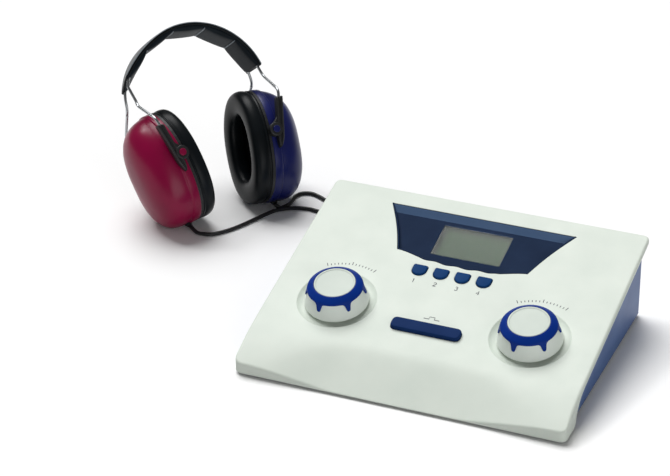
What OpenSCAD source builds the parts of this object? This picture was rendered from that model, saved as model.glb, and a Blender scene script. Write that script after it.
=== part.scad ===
// Desktop hearing-test console with its headset.
// The origin is on the table, under the middle of the console. X runs to the right,
// Y to the back and Z up. All sizes are in millimetres.

/* [Console] */
// Width of the console, left to right
console_w = 270; // [256:1:300]
// Depth of the console, front to back
console_d = 212; // [208:1:230]
// Height of the panel's front edge above the table
front_h = 17.3; // [17:0.1:22]
// Height of the panel's back edge above the table
back_h = 71; // [62:1:80]
// Corner radius of the cover, seen from above
corner_r = 6; // [5:0.5:10]
// Thickness of the sloping panel
panel_t = 3; // [2.5:0.1:4]
// Thickness of the cover's walls
cover_wall = 3; // [2:0.1:4]
// How far the cover's skirt hangs below its top at the sides and back
skirt_h = 4; // [3.5:0.5:8]
// Length of the deep front part of the cover's sides
lip_d = 32; // [25:1:40]
// Gap between the cover's lower edge and the table
cover_lift = 2; // [1:0.5:2.5]
// How far the panel rolls down at its front corners
roll_side = 5.8; // [4:0.2:7]
// How far the panel rolls down at the middle of its front edge
roll_mid = 14.5; // [9:0.5:14.5]
// Length of the front roll, up the panel
roll_l = 38; // [30:1:40]

/* [Base] */
// How far the base stands in from the cover's sides
base_side = 4.2; // [3.8:0.1:6]
// How far the base stands in from the cover's back
base_inset = 5.2; // [4.4:0.1:7]
// Thickness of the base's walls
base_wall = 2.5; // [2:0.1:3.5]
// Thickness of the base's floor
base_floor = 2.5; // [2:0.1:3.5]
// Height of the rubber feet
foot_h = 3; // [2.5:0.1:5]
// Radius of the rubber feet
foot_r = 8; // [5:0.5:10]
// Distance of the screw bosses from the console's sides
boss_from_side = 17; // [14:1:18]
// Distance of the screw bosses from the console's front and back
boss_from_end = 20; // [18:1:24]

/* [Knobs] */
// Distance of each knob from its side of the panel
knob_from_side = 55; // [45:1:61]
// Distance of the knobs up the panel from its front edge
knob_s = 80.8; // [72:0.2:90]
// Radius of a knob at its foot
knob_r = 25.5; // [23:0.5:28]
// Radius of the shoulder where a knob's crown sits
knob_shoulder_r = 21; // [19:0.5:23]
// Height of that shoulder above the panel
knob_shoulder_h = 14; // [11:0.5:17]
// Radius of the disc on top of a knob
disc_r = 16.5; // [14:0.5:17.5]
// Height of the disc and the crown above the shoulder
disc_t = 4; // [3:0.5:5]
// Thickness of a crown's fingers
finger_t = 1.25; // [1:0.05:2]
// Width of a crown's finger at its top
finger_w = 8; // [6:0.5:10]
// Radius of the dished well round a knob
well_r = 31; // [30:0.5:34]
// Depth of that well
well_depth = 1.6; // [1.2:0.1:2]
// Radius of a knob's shaft
shaft_r = 3; // [2.5:0.1:4]

/* [Keys] */
// Distance between neighbouring function keys
key_pitch = 18; // [17.6:0.2:20]
// Distance of the function keys' middle in front of the bezel
key_from_bezel = 10.9; // [10.7:0.1:14]
// Width of a function key
key_w = 12; // [11:0.5:14]
// How far the row of keys sits left of the middle
keys_left = 2; // [0:0.5:4]
// How far a function key stands above the panel
key_rise = 1.6; // [1:0.1:3]
// Travel of a function key
key_travel = 1.2; // [0.8:0.1:1.5]
// Length of the tone bar
bar_w = 57; // [50:1:64]
// Width of the tone bar, up the panel
bar_d = 11.5; // [10:0.5:15]
// Distance of the tone bar up the panel
bar_s = 67.3; // [60:0.1:76]
// How far the tone bar stands above the panel
bar_rise = 3.2; // [2:0.1:5]
// Travel of the tone bar
bar_travel = 1.5; // [1:0.1:1.8]
// Clearance round a key in its hole
key_gap = 0.3; // [0.2:0.05:0.5]

/* [Display] */
// Width of the display bezel at its back edge
bezel_back_w = 158; // [140:1:166]
// Width of the display bezel at its lower corners
bezel_low_w = 110; // [100:1:120]
// Width of the bezel's front edge, above the keys
bezel_front_w = 56; // [50:1:70]
// Distance of the bezel's back edge from the panel's back edge
bezel_from_back = 17.4; // [14.7:0.1:20.7]
// Length of the bezel's slanted sides, up the panel
bezel_side_d = 52.3; // [49:0.1:54]
// Length of the bezel, up the panel
bezel_d = 60.1; // [57:0.1:60.2]
// Depth of the bezel's floor below the panel
bezel_depth = 3.4; // [3:0.1:4]
// Width of the display's window
window_w = 59; // [50:1:64]
// Height of the display's window, up the panel
window_d = 36; // [30:1:38]
// Distance of the window's middle from the bezel's back edge
window_from_back = 28.8; // [26.5:0.1:31]

/* [Rear] */
// Height of the rear sockets above the table
jack_z = 30; // [24:1:36]
// Bore radius of a phone socket
jack_bore_r = 3.2; // [3.18:0.01:3.25]
// Depth of a phone socket's bore
jack_bore_l = 30; // [28:1:34]
// Place of the right ear's socket from the middle
right_jack_x = -50; // [-60:1:-40]
// Place of the left ear's socket from the middle
left_jack_x = 30; // [20:1:40]
// Place of the patient response socket from the middle
response_jack_x = 75; // [60:1:95]
// Distance of the power inlet from the console's side
inlet_from_side = 31; // [29:1:33]
// Distance of the power switch from the console's side
rocker_from_side = 55; // [52:1:57]

/* [Headset] */
// Distance from one cup's pivot to the other
pivot_span = 90; // [84:1:110]
// Half the width of an ear cup, front to back
cup_half_w = 36; // [33:0.5:40]
// Half the height of an ear cup
cup_half_h = 50; // [46:1:56]
// How far the pivots stand above the middle of the cups
pivot_up = 6; // [2:0.5:10]
// Depth of a cup's shell
shell_depth = 37; // [32:1:42]
// Thickness of the shell's wall
shell_wall = 2.5; // [2:0.1:3.5]
// Thickness of the ear cushions
cushion_t = 14.5; // [12:0.5:18]
// Half the width of the opening in a cushion
ear_half_w = 18; // [15:0.5:20]
// Half the height of the opening in a cushion
ear_half_h = 31; // [26:1:34]
// Tilt of the red cup, its lower end inwards, in degrees
red_tilt = 9; // [4:1:12]
// Tilt of the blue cup, its lower end inwards, in degrees
blue_tilt = 7; // [4:1:12]
// Outer radius of the headband
band_r = 63.5; // [60:0.5:70]
// Height of the headband's centre above the pivots
band_up = 49.5; // [48:0.5:60]
// Thickness of the headband's pad
band_t = 6.5; // [5.5:0.5:8]
// Width of the headband's pad
band_w = 31; // [28:1:38]
// Radius of the band's spring wires
wire_r = 1.25; // [1:0.05:1.5]
// Slant of the wires' ends in their guides, in degrees
wire_slant = 15; // [10:1:18]
// Thickness of a wire guide
guide_t = 6; // [5:0.5:7]
// Radius of a cup's pivot pins
pin_r = 2; // [1.6:0.1:2.5]
// Lean of the headset to the back, in degrees
headset_lean = 36; // [30:1:40]
// Turn of the headset about the upright, in degrees
headset_turn = 52; // [45:1:60]

/* [Cords] */
// Radius of the headset's cords
cord_r = 1.7; // [1.6:0.05:1.8]
// Radius at the middle of a cord coil's turns
coil_mid_r = 19; // [18:0.5:20]
// Radius of a phone plug's pin
plug_pin_r = 3.15; // [3.1:0.01:3.17]
// Radius of a phone plug's handle
plug_handle_r = 6.5; // [5.5:0.5:7.5]

/* [Hidden] */
$fn = 64;

white = "#e4eae2";
blue = "#1b3f8f";
dark_blue = "#213050";
side_blue = "#4a6a9c";
black = "#1c1e20";
steel = "#b8bbbd";

far = 400;                                       // larger than anything that is cut
running = 0.05;                                  // radial clearance of a shaft in its bore
rise = back_h - front_h;
slope = atan(rise / console_d);                  // angle of the panel
panel_l = console_d / cos(slope);                // length of the panel up its slope
knob_x = console_w / 2 - knob_from_side;
bezel_back_s = panel_l - bezel_from_back;
bezel_low_s = bezel_back_s - bezel_side_d;
bezel_front_s = bezel_back_s - bezel_d;
key_s = bezel_front_s - key_from_bezel;
window_s = bezel_back_s - window_from_back;
base_w = console_w - 2 * base_side;
base_r = max(corner_r - cover_wall, 1.5);        // corner radii of the base, outside and inside
base_inner_r = max(base_r - base_wall, 0.5);
roll_rise = 34;                                  // slope of the front scoop's lowest line
scoop_half = console_w * 0.215;                  // half the width of its flat middle
scoop_rise = 0.153;                              // how fast it rises from there to the sides
base_front_y = -console_d / 2 + cover_wall + 0.4;
base_back_y = console_d / 2 - base_inset;
floor_z = foot_h + base_floor;                   // top of the base's floor
boss_x = console_w / 2 - boss_from_side;
boss_y = console_d / 2 - boss_from_end;
boss_r = 4;
case_screw_r = 1.45;
board_screw_r = 1.2;

board_drop = 12;                                 // from the panel's top to the main board's top
board_t = 1.6;
board_w = 2 * (boss_x - boss_r - 2);
board_front_s = min(knob_s, bar_s) - 26;
board_back_s = bezel_back_s + 3;
board_post_r = 3.2;
board_post_x = board_w / 2 - 6;
board_post_s = [board_front_s + 6, board_back_s - 6];

flange_t = 1.3;                                  // key flanges, just under the panel
flange_gap = 0.3;
stem_r = 1.6;
switch_h = 4.2;                                  // switches on the main board
switch_top = -board_drop + switch_h;
stem_tip = switch_top - 0.4;

encoder_w = 26;
encoder_top = -panel_t - 1;
bushing_r = 4.5;
bushing_top = 2.2;
nut_t = 1.8;
knob_lift = 0.4;                                 // between a knob's foot and its well
finger_foot_h = 6.5;                               // where the crown's fingers end

wall_y = base_back_y;                            // outer face of the rear wall
inlet_x = inlet_from_side - console_w / 2;
rocker_x = rocker_from_side - console_w / 2;
jack_face_y = wall_y + 2.5;
plug_face_y = jack_face_y + 0.4;
plug_handle_l = 32;
plug_relief_l = 12;
plug_back_y = plug_face_y + plug_handle_l + plug_relief_l;

pivot_x = pivot_span / 2;
rim_x = -3;                                      // the shell's rim, from the pivot, outwards
plate_t = 2.5;
guide_gap = 0.4;                                 // between a cup's side and its guides
guide_y = cup_half_w + guide_gap;                // inner face of a guide
wire_y = guide_y + guide_t / 2;
guide_w = 7;
mouth_up = 27;                                   // upper end of a guide above the pivots
mouth_x = pivot_x + 12;
tip_down = 16;                                   // lower end of a guide below the pivots
wire_end_up = -4;                                // lower end of the wires
wire_bend_up = 33.5;                               // top of the wires' straight ends
wire_arc_r = band_r - 3;
wire_half_gap = 11;                              // half the gap between the wires in the pad
pad_end = 12;                                    // angle of the pad's right end above level
pad_end_left = 18.5;                             // and of its left end
headset_x = -269;                                // midway between the cup pivots
headset_y = 146.5;
u_axis = [cos(headset_turn), sin(headset_turn), 0];
w_axis = [-sin(headset_turn) * cos(headset_lean), cos(headset_turn) * cos(headset_lean),
          -sin(headset_lean)];
t_axis = [-sin(headset_turn) * sin(headset_lean), cos(headset_turn) * sin(headset_lean),
          cos(headset_lean)];

coil_columns = 4;
coil_rows = 4;
coil_half_w = coil_columns * cord_r;
coil_h = coil_rows * 2 * cord_r;
coil_out = coil_mid_r + coil_half_w - cord_r;    // radius of the outer turn
coil_behind = 62;                                // from the console's back to the coils' middle
coil_beside = 45;                                // from a socket to its coil's middle
coil_y = console_d / 2 + coil_behind;
red_coil_at = [right_jack_x - coil_beside, coil_y, 0];
blue_coil_at = [left_jack_x - coil_beside, coil_y, 0];
gland_at = [4.5, 4, 4 - cup_half_h - pivot_up];  // root of a cord gland in its cup
gland_tip = 6.4;                                 // length of a gland
gland_turn = 150;
gland_way = [0, -sin(gland_turn), cos(gland_turn)];

// ---- helpers -------------------------------------------------------------

// Place something on the sloping panel: x across it, s up it and h above it
module on_panel(x = 0, s = 0, h = 0) {
    translate([0, -console_d / 2, front_h])
    rotate([slope, 0, 0])
    translate([x, s, h]) children();
}

// Height of the panel's top at a given y
function panel_z(y) = front_h + (y + console_d / 2) * tan(slope);

// A point of the headset's own frame, and a point of a cup's frame, before the headset is placed
function headset_point(p) = p[0] * u_axis + p[1] * w_axis + p[2] * t_axis;
function cup_point(side, p) =
    let (a = side < 0 ? red_tilt : blue_tilt)
    headset_point([side * (pivot_x + p[0] * cos(a) + p[2] * sin(a)), p[1],
                   p[2] * cos(a) - p[0] * sin(a)]);

module rounded_plate(x0, x1, y0, y1, r) {
    translate([x0 + r, y0]) square([x1 - x0 - 2 * r, y1 - y0]);
    translate([x0, y0 + r]) square([x1 - x0, y1 - y0 - 2 * r]);
    for (x = [x0 + r, x1 - r], y = [y0 + r, y1 - r]) translate([x, y]) circle(r);
}

// A block with upright walls, cut off below the panel's plane lowered by drop
module wedge(x_half, y0, y1, r, z0, drop) {
    difference() {
        translate([0, 0, z0])
        linear_extrude(back_h + 20 - z0) rounded_plate(-x_half, x_half, y0, y1, r);
        on_panel(-far, -far, -drop) cube([2 * far, 3 * far, far]);
    }
}

// What the rounded front takes off the panel: a roll over the full width and a wide scoop
// in its middle. drop lowers both, for what lies under the panel.
module roll_cut(drop) {
    front = -console_d / 2;
    n = 5;
    rotate([90, 0, 90]) translate([0, 0, -far])
    linear_extrude(2 * far)
        polygon(concat(
            [[front - 5, back_h], [front - 5, front_h - roll_side - 2.5 - drop]],
            [for (i = [0:n])
                let (s = roll_l * i / n, y = front + s * cos(slope))
                [y, panel_z(y) - roll_side * pow(1 - i / n, 1.6) - drop]],
            [[front + roll_l * cos(slope), back_h]]));
    translate([0, front, front_h - roll_mid - drop])
    rotate([roll_rise, 0, 0]) translate([0, roll_l * 1.6, 0]) rotate([90, 0, 0])
    linear_extrude(20 + roll_l * 1.6)
        let (up = far * scoop_rise * cos(roll_rise))
        polygon([[-scoop_half - far, up], [-scoop_half, 0], [scoop_half, 0], [scoop_half + far, up],
                 [scoop_half + far, far], [-scoop_half - far, far]]);
}

module tube_along_y(r, y0, y1) {
    translate([0, y1, 0]) rotate([90, 0, 0]) cylinder(r = r, h = y1 - y0);
}

module rod(a, b, r) {
    v = b - a;
    l = norm(v);
    translate(a) rotate([0, acos(v[2] / l), atan2(v[1], v[0])]) cylinder(r = r, h = l, $fn = 24);
}

// ---- console -------------------------------------------------------------

module key_outline(grow = 0) {
    half = key_w / 2 + grow;
    circle(half);
    translate([-half, 0]) square([2 * half, half - 0.5]);
}

module bar_outline(grow = 0) {
    rounded_plate(-bar_w / 2 - grow, bar_w / 2 + grow, -bar_d / 2 - grow, bar_d / 2 + grow,
                  bar_d / 2 - 1.5 + grow);
}

// Outline of the display bezel, moved outwards by grow
function bezel_points(grow = 0) = [
    [-bezel_back_w / 2 - 1.5 * grow, bezel_back_s + grow],
    [-bezel_low_w / 2 - 1.2 * grow, bezel_low_s - 0.4 * grow],
    [-bezel_front_w / 2 - 0.2 * grow, bezel_front_s - grow],
    [bezel_front_w / 2 + 0.2 * grow, bezel_front_s - grow],
    [bezel_low_w / 2 + 1.2 * grow, bezel_low_s - 0.4 * grow],
    [bezel_back_w / 2 + 1.5 * grow, bezel_back_s + grow]];

module knob_wells() {
    for (side = [-1, 1]) {
        on_panel(side * knob_x, knob_s, -well_depth)
            cylinder(r1 = well_r - 2, r2 = well_r + 0.5, h = well_depth * 1.25);
        on_panel(side * knob_x, knob_s, -panel_t - 1)
            cylinder(r = bushing_r + 0.25, h = panel_t + 2);
    }
}

module key_holes() {
    for (i = [-1.5:1:1.5])
        on_panel(i * key_pitch - keys_left, key_s, -panel_t - 1)
            linear_extrude(panel_t + 2) key_outline(key_gap);
    on_panel(0, bar_s, -panel_t - 1) linear_extrude(panel_t + 2) bar_outline(key_gap);
}

// What the base leaves open under the cover's skirt: everything but the deep front lip
module below_skirt() {
    lip_y = -console_d / 2 + lip_d;
    back_y = console_d / 2 + 1;
    rotate([90, 0, 90]) translate([0, 0, -far])
    linear_extrude(2 * far)
        polygon([[lip_y - 8, -1], [lip_y - 8, cover_lift + 2], [lip_y - 5, panel_z(lip_y) * 0.45],
                 [lip_y + 4, panel_z(lip_y) - skirt_h - 1.5], [lip_y + 16, panel_z(lip_y + 16) - skirt_h],
                 [back_y, panel_z(back_y) - skirt_h], [back_y, -1]]);
}

module cover_bosses() {
    for (x = [-boss_x, boss_x], y = [-boss_y, boss_y])
        difference() {
            intersection() {
                translate([x, y, floor_z]) cylinder(r = boss_r, h = back_h);
                wedge(console_w / 2 - 1, -console_d / 2 + 1, console_d / 2 - 1, corner_r, 0, 1);
            }
            roll_cut(1);
        }
    for (x = [-board_post_x, board_post_x], s = board_post_s)
        on_panel(x, s, -board_drop) cylinder(r = board_post_r, h = board_drop - 1);
}

module boss_bores() {
    for (x = [-boss_x, boss_x], y = [-boss_y, boss_y])
        translate([x, y, floor_z - 1])
            cylinder(r = case_screw_r + running, h = panel_z(y) - panel_t - 2 - floor_z);
    for (x = [-board_post_x, board_post_x], s = board_post_s)
        on_panel(x, s, -board_drop - 1) cylinder(r = board_screw_r + running, h = board_drop - 3);
}

module top_cover() {
    half = console_w / 2;
    depth = console_d / 2;
    color(white)
    difference() {
        union() {
            difference() {
                wedge(half, -depth, depth, corner_r, cover_lift, 0);
                roll_cut(0);
                difference() {
                    wedge(half - cover_wall, -depth + cover_wall, depth - cover_wall,
                          corner_r - cover_wall + 0.5, cover_lift - 1, panel_t);
                    roll_cut(panel_t);
                }
                below_skirt();
            }
            cover_bosses();
        }
        boss_bores();
        knob_wells();
        key_holes();
        on_panel(0, 0, -panel_t - 1) linear_extrude(panel_t + 2) polygon(bezel_points());
    }
}

module base_shell() {
    half = base_w / 2;
    color(side_blue)
    difference() {
        wedge(half, base_front_y, base_back_y, base_r, foot_h, panel_t);
        roll_cut(panel_t);
        wedge(half - base_wall, base_front_y + base_wall, base_back_y - base_wall,
              base_inner_r, floor_z, panel_t - 5);
        for (x = [-boss_x, boss_x], y = [-boss_y, boss_y])
            translate([x, y, foot_h - 1]) cylinder(r = case_screw_r + 0.25, h = base_floor + 2);
        for (x = [right_jack_x, left_jack_x, response_jack_x])
            translate([x, 0, jack_z]) tube_along_y(4.6, wall_y - base_wall - 1, wall_y + 1);
        translate([inlet_x, 0, jack_z]) tube_along_y(5.1, wall_y - base_wall - 1, wall_y + 1);
        translate([rocker_x - 10.1, wall_y - base_wall - 1, jack_z - 7.1])
            cube([20.2, base_wall + 2, 14.2]);
    }
}

module display_bezel() {
    flange = 2.5;
    slope_d = 6;
    wall = 1.2;
    color(dark_blue)
    difference() {
        union() {
            on_panel(0, 0, -bezel_depth - 1.4)
                linear_extrude(1.4 + bezel_depth - panel_t) polygon(bezel_points(flange));
            on_panel(0, 0, -bezel_depth - 0.5)
                linear_extrude(bezel_depth + 0.5) polygon(bezel_points(-0.15));
        }
        on_panel(0, 0, -bezel_depth)
            linear_extrude(bezel_depth + 1)
            intersection() {
                polygon(bezel_points(-0.15 - wall));
                translate([-far, 0]) square([2 * far, bezel_back_s - slope_d]);
            }
        on_panel(0, bezel_back_s - slope_d - 0.01, 0)
            intersection() {
                rotate([90, 0, 90]) translate([0, 0, -far])
                    linear_extrude(2 * far)
                    polygon([[0, -bezel_depth], [0, 1], [slope_d - wall + 1, 1],
                             [slope_d - wall, 0]]);
                translate([0, slope_d - bezel_back_s, -far])
                    linear_extrude(2 * far) polygon(bezel_points(-0.15 - wall));
            }
        on_panel(-window_w / 2, window_s - window_d / 2, -bezel_depth - 3)
            cube([window_w, window_d, 6]);
    }
}

module display_window() {
    gap = 0.1;
    color("#a9b3a0", 0.5)
    on_panel(-window_w / 2 + gap, window_s - window_d / 2 + gap, -bezel_depth - 1.4)
        cube([window_w - 2 * gap, window_d - 2 * gap, 1.2]);
}

module lcd_module() {
    glass_top = -bezel_depth - 1.4;
    color("#94a08c")
    union() {
        on_panel(-window_w / 2 - 4, window_s - window_d / 2 - 4, glass_top - 4)
            cube([window_w + 8, window_d + 8, 4]);
        for (x = [-1, 1], y = [-1, 1])
            on_panel(x * window_w / 2, window_s + y * window_d / 2, -board_drop)
                cylinder(r = 2, h = glass_top - 3 + board_drop);
    }
}

module main_board() {
    color("#2f6b45")
    difference() {
        on_panel(-board_w / 2, board_front_s, -board_drop - board_t)
            cube([board_w, board_back_s - board_front_s, board_t]);
        for (x = [-board_post_x, board_post_x], s = board_post_s)
            on_panel(x, s, -board_drop - board_t - 1)
                cylinder(r = board_screw_r + 0.2, h = board_t + 2);
    }
}

module key_switches() {
    color(black)
    for (i = [-1.5:1:1.5])
        difference() {
            on_panel(i * key_pitch - keys_left - 3.2, key_s - 3.2, -board_drop) cube([6.4, 6.4, switch_h]);
            on_panel(i * key_pitch - keys_left, key_s, -board_drop + 1) cylinder(r = stem_r + 0.3, h = switch_h);
        }
}

module function_key(i) {
    color(blue)
    on_panel((i - 2.5) * key_pitch - keys_left, key_s) {
        translate([0, 0, -panel_t - flange_gap - 0.1])
            linear_extrude(panel_t + flange_gap + 0.1 + key_rise) key_outline();
        translate([0, 0, -panel_t - flange_gap - flange_t])
            linear_extrude(flange_t) key_outline(1.2);
        translate([0, 0, stem_tip]) cylinder(r = stem_r, h = -stem_tip - panel_t - 1);
    }
}

module tone_bar() {
    color(dark_blue)
    on_panel(0, bar_s) {
        translate([0, 0, -panel_t - flange_gap - 0.1])
            linear_extrude(panel_t + flange_gap + 0.1 + bar_rise) bar_outline();
        translate([0, 0, -panel_t - flange_gap - flange_t])
            linear_extrude(flange_t) bar_outline(1.4);
        for (x = [-bar_w / 3, 0, bar_w / 3])
            translate([x, 0, stem_tip]) cylinder(r = stem_r, h = -stem_tip - panel_t - 1);
    }
}

module tone_switch() {
    color(black)
    difference() {
        on_panel(-bar_w / 3 - 4, bar_s - 4, -board_drop) cube([2 * bar_w / 3 + 8, 8, switch_h]);
        for (x = [-bar_w / 3, 0, bar_w / 3])
            on_panel(x, bar_s, -board_drop + 1) cylinder(r = stem_r + 0.3, h = switch_h);
    }
}

// Radius of a knob's flank at a height above the panel
function flank_r(h) = knob_r - h * (knob_r - knob_shoulder_r) / knob_shoulder_h;

module knob_body(side) {
    foot = -well_depth + knob_lift;
    color(white)
    on_panel(side * knob_x, knob_s)
    rotate_extrude()
        polygon([[shaft_r + 0.01, 5], [8, 5], [8, 3.4], [knob_r - 3.5, 3.4], [knob_r - 2.5, foot],
                 [knob_r - 0.4, foot], [knob_r, foot + 0.5], [knob_r, 0],
                 [flank_r(knob_shoulder_h), knob_shoulder_h], [shaft_r + 0.01, knob_shoulder_h]]);
}

module knob_crown(side) {
    top = knob_shoulder_h + disc_t - 0.2;
    lip = knob_shoulder_h - 0.8;
    color(blue)
    on_panel(side * knob_x, knob_s) {
        rotate_extrude()
            polygon([[disc_r + 0.1, knob_shoulder_h], [knob_shoulder_r + 0.05, knob_shoulder_h],
                     [flank_r(lip) + 0.05, lip], [flank_r(lip) + finger_t, lip],
                     [knob_shoulder_r + finger_t, knob_shoulder_h + 0.6], [disc_r + 0.9, top],
                     [disc_r + 0.1, top]]);
        intersection() {
            rotate_extrude()
                polygon([[flank_r(finger_foot_h) + 0.12, finger_foot_h],
                         [flank_r(finger_foot_h) + finger_t - 0.07, finger_foot_h],
                         [flank_r(lip + 0.5) + finger_t - 0.07, lip + 0.5],
                         [flank_r(lip + 0.5) + 0.12, lip + 0.5]]);
            for (a = [17.5:60:317.5])
                rotate([0, 0, a - 90]) rotate([90, 0, 90])
                linear_extrude(knob_r + 5)
                    polygon([[-finger_w / 2, knob_shoulder_h + 0.3], [-finger_w * 0.3, knob_shoulder_h - 2],
                             [-finger_w * 0.21, finger_foot_h + 1.2], [-finger_w * 0.11, finger_foot_h],
                             [finger_w * 0.11, finger_foot_h], [finger_w * 0.21, finger_foot_h + 1.2],
                             [finger_w * 0.3, knob_shoulder_h - 2],
                             [finger_w / 2, knob_shoulder_h + 0.3]]);
        }
    }
}

module knob_disc(side) {
    color("#dfe5df")
    on_panel(side * knob_x, knob_s, knob_shoulder_h)
        rotate_extrude()
        polygon([[0, 0], [disc_r, 0], [disc_r, disc_t - 0.4], [disc_r - 0.4, disc_t],
                 [disc_r - 1.4, disc_t], [disc_r - 1.7, disc_t - 0.3], [0, disc_t - 0.3]]);
}

module shaft(side) {
    color(steel)
    on_panel(side * knob_x, knob_s, -board_drop + 3)
        cylinder(r = shaft_r, h = knob_shoulder_h + board_drop - 3.2);
}

module encoder(side) {
    color("#5c6268")
    difference() {
        union() {
            on_panel(side * knob_x - encoder_w / 2, knob_s - encoder_w / 2, -board_drop)
                cube([encoder_w, encoder_w, encoder_top + board_drop]);
            on_panel(side * knob_x, knob_s, encoder_top - 1)
                cylinder(r = bushing_r, h = bushing_top + 1 - encoder_top);
        }
        on_panel(side * knob_x, knob_s, -board_drop + 2.5)
            cylinder(r = shaft_r + running, h = far);
    }
}

module encoder_nuts() {
    color(steel)
    for (side = [-1, 1])
        difference() {
            on_panel(side * knob_x, knob_s, -well_depth) cylinder(r = 6.9, h = nut_t, $fn = 6);
            on_panel(side * knob_x, knob_s, -well_depth - 1)
                cylinder(r = bushing_r + 0.05, h = nut_t + 2);
        }
}

module phone_jack(x) {
    color(black)
    translate([x, 0, jack_z])
    difference() {
        union() {
            translate([-7, jack_face_y - jack_bore_l - 3, -8])
                cube([14, wall_y - base_wall - jack_face_y + jack_bore_l + 3, 16]);
            tube_along_y(4.5, wall_y - base_wall - 1, jack_face_y);
            tube_along_y(7.2, wall_y, jack_face_y - 0.3);
        }
        tube_along_y(jack_bore_r, jack_face_y - jack_bore_l, jack_face_y + 1);
    }
}

module power_inlet() {
    inlet_l = 14;
    color(black)
    translate([inlet_x, 0, jack_z]) {
        difference() {
            union() {
                translate([-7, wall_y - base_wall - inlet_l, -7]) cube([14, inlet_l, 14]);
                tube_along_y(5, wall_y - base_wall - 1, wall_y + 1);
            }
            tube_along_y(2.8, wall_y - 10, wall_y + 2);
        }
        tube_along_y(1, wall_y - 11, wall_y - 0.5);
    }
}

module rocker_housing() {
    color(black)
    translate([rocker_x, 0, jack_z])
    difference() {
        union() {
            translate([-10, wall_y - base_wall - 14, -7]) cube([20, 14 + base_wall, 14]);
            translate([-11.5, wall_y, -8.5]) cube([23, 1.6, 17]);
        }
        translate([-7.5, wall_y - 11, -5.9]) cube([15, 20, 11.8]);
        translate([-9, wall_y - 3, 0]) rotate([0, 90, 0]) cylinder(r = 1.3 + running, h = 18);
    }
}

module power_rocker() {
    color("#30343a")
    translate([rocker_x, wall_y - 3, jack_z]) {
        rotate([90, 0, 90]) translate([0, 0, -7])
            linear_extrude(14)
            polygon([[-4.5, -2.5], [3.4, -4.3], [5.6, -4.3], [3.8, 0], [4.8, 4.3], [3, 4.3], [-4.5, 2.5]]);
        translate([-8.6, 0, 0]) rotate([0, 90, 0]) cylinder(r = 1.3, h = 17.2);
    }
}

module rubber_feet() {
    color(black)
    for (x = [-boss_x + 16, boss_x - 16], y = [-boss_y + 2, boss_y - 2])
        translate([x, y, 0]) cylinder(r1 = foot_r - 0.8, r2 = foot_r, h = foot_h);
}

module case_screws() {
    color(steel)
    for (x = [-boss_x, boss_x], y = [-boss_y, boss_y])
        translate([x, y, 0]) {
            translate([0, 0, foot_h - 1.4]) cylinder(r = 3, h = 1.4);
            translate([0, 0, foot_h - 1]) cylinder(r = case_screw_r, h = base_floor + 9);
        }
}

module board_screws() {
    color(steel)
    for (x = [-board_post_x, board_post_x], s = board_post_s)
        on_panel(x, s, -board_drop - board_t) {
            translate([0, 0, -1.3]) cylinder(r = 2.6, h = 1.3);
            translate([0, 0, -1]) cylinder(r = board_screw_r, h = board_t + 6);
        }
}

// ---- headset -------------------------------------------------------------

// The headset's own frame: x from the red cup to the blue, y to the rear wire, z up the band
module on_headset() {
    translate(headset_at) rotate([-headset_lean, 0, headset_turn]) children();
}

// A cup's own frame: x outwards from the pivot axis, z up the cup. side is -1 for the red cup
module on_cup(side) {
    on_headset()
    mirror([side < 0 ? 1 : 0, 0, 0])
    translate([pivot_x, 0, 0])
    rotate([0, side < 0 ? red_tilt : blue_tilt, 0]) children();
}

// Egg-shaped outline of a cup, moved inwards by inset
function egg(half_w, half_h, narrowing = 0.14) = [
    for (i = [0:47])
        let (a = i * 7.5, c = cos(a), s = sin(a),
             y = sign(s) * pow(abs(s), 0.87),
             x = sign(c) * pow(abs(c), 0.87) * (1 - narrowing * pow(max(0, y), 2)))
        [x * half_w, y * half_h - pivot_up]];

// The cups' lowest points rest on the table
cup_drop = max([for (side = [-1, 1], p = egg(cup_half_w, cup_half_h))
                -cup_point(side, [rim_x + 8, p[0], p[1]])[2]]);
headset_at = [headset_x, headset_y, cup_drop + 0.1];

// A slab with the cup's outline, from x0 to x1
module cup_slab(x0, x1, inset = 0) {
    translate([x0, 0, 0]) rotate([90, 0, 90])
        linear_extrude(x1 - x0) polygon(egg(cup_half_w - inset, cup_half_h - inset));
}

module cup_form(inset) {
    low_r = 28 - inset;
    high_r = 23 - inset;
    hull() {
        cup_slab(rim_x, rim_x + 8, inset);
        translate([rim_x + shell_depth - 28, 0, -pivot_up - cup_half_h + 36])
            sphere(r = low_r, $fn = 32);
        translate([rim_x + shell_depth - 29, 0, -pivot_up + cup_half_h - 30])
            sphere(r = high_r, $fn = 32);
    }
}

module cup_shell() {
    difference() {
        union() {
            difference() {
                cup_form(0);
                cup_form(shell_wall);
                cup_slab(rim_x - 1, rim_x + 0.5, shell_wall);
            }
            for (y = [-cup_half_w + 0.6, cup_half_w - 6.6])
                tube_along_y(5, y, y + 6);
        }
        translate([rim_x - far, -far / 2, -far / 2]) cube(far);
        tube_along_y(pin_r + running, -cup_half_w - 2, -cup_half_w + 9);
        tube_along_y(pin_r + running, cup_half_w - 9, cup_half_w + 2);
    }
}

module cup_plate() {
    difference() {
        cup_slab(rim_x - plate_t, rim_x, 0.4);
        translate([rim_x - plate_t - 1, 0, -pivot_up]) rotate([0, 90, 0])
            cylinder(r = 15.3, h = plate_t + 2);
    }
}

module cup_cushion() {
    back = rim_x - plate_t;
    difference() {
        union() {
            cup_slab(back - 3, back, 0.8);
            cup_slab(back - cushion_t + 4, back - 3, 0);
            cup_slab(back - cushion_t + 1.5, back - cushion_t + 4, 1);
            cup_slab(back - cushion_t, back - cushion_t + 1.5, 3.5);
        }
        translate([back - cushion_t - 1, 0, 0]) rotate([90, 0, 90])
            linear_extrude(cushion_t + 2) polygon(egg(ear_half_w, ear_half_h, 0.05));
    }
}

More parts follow.
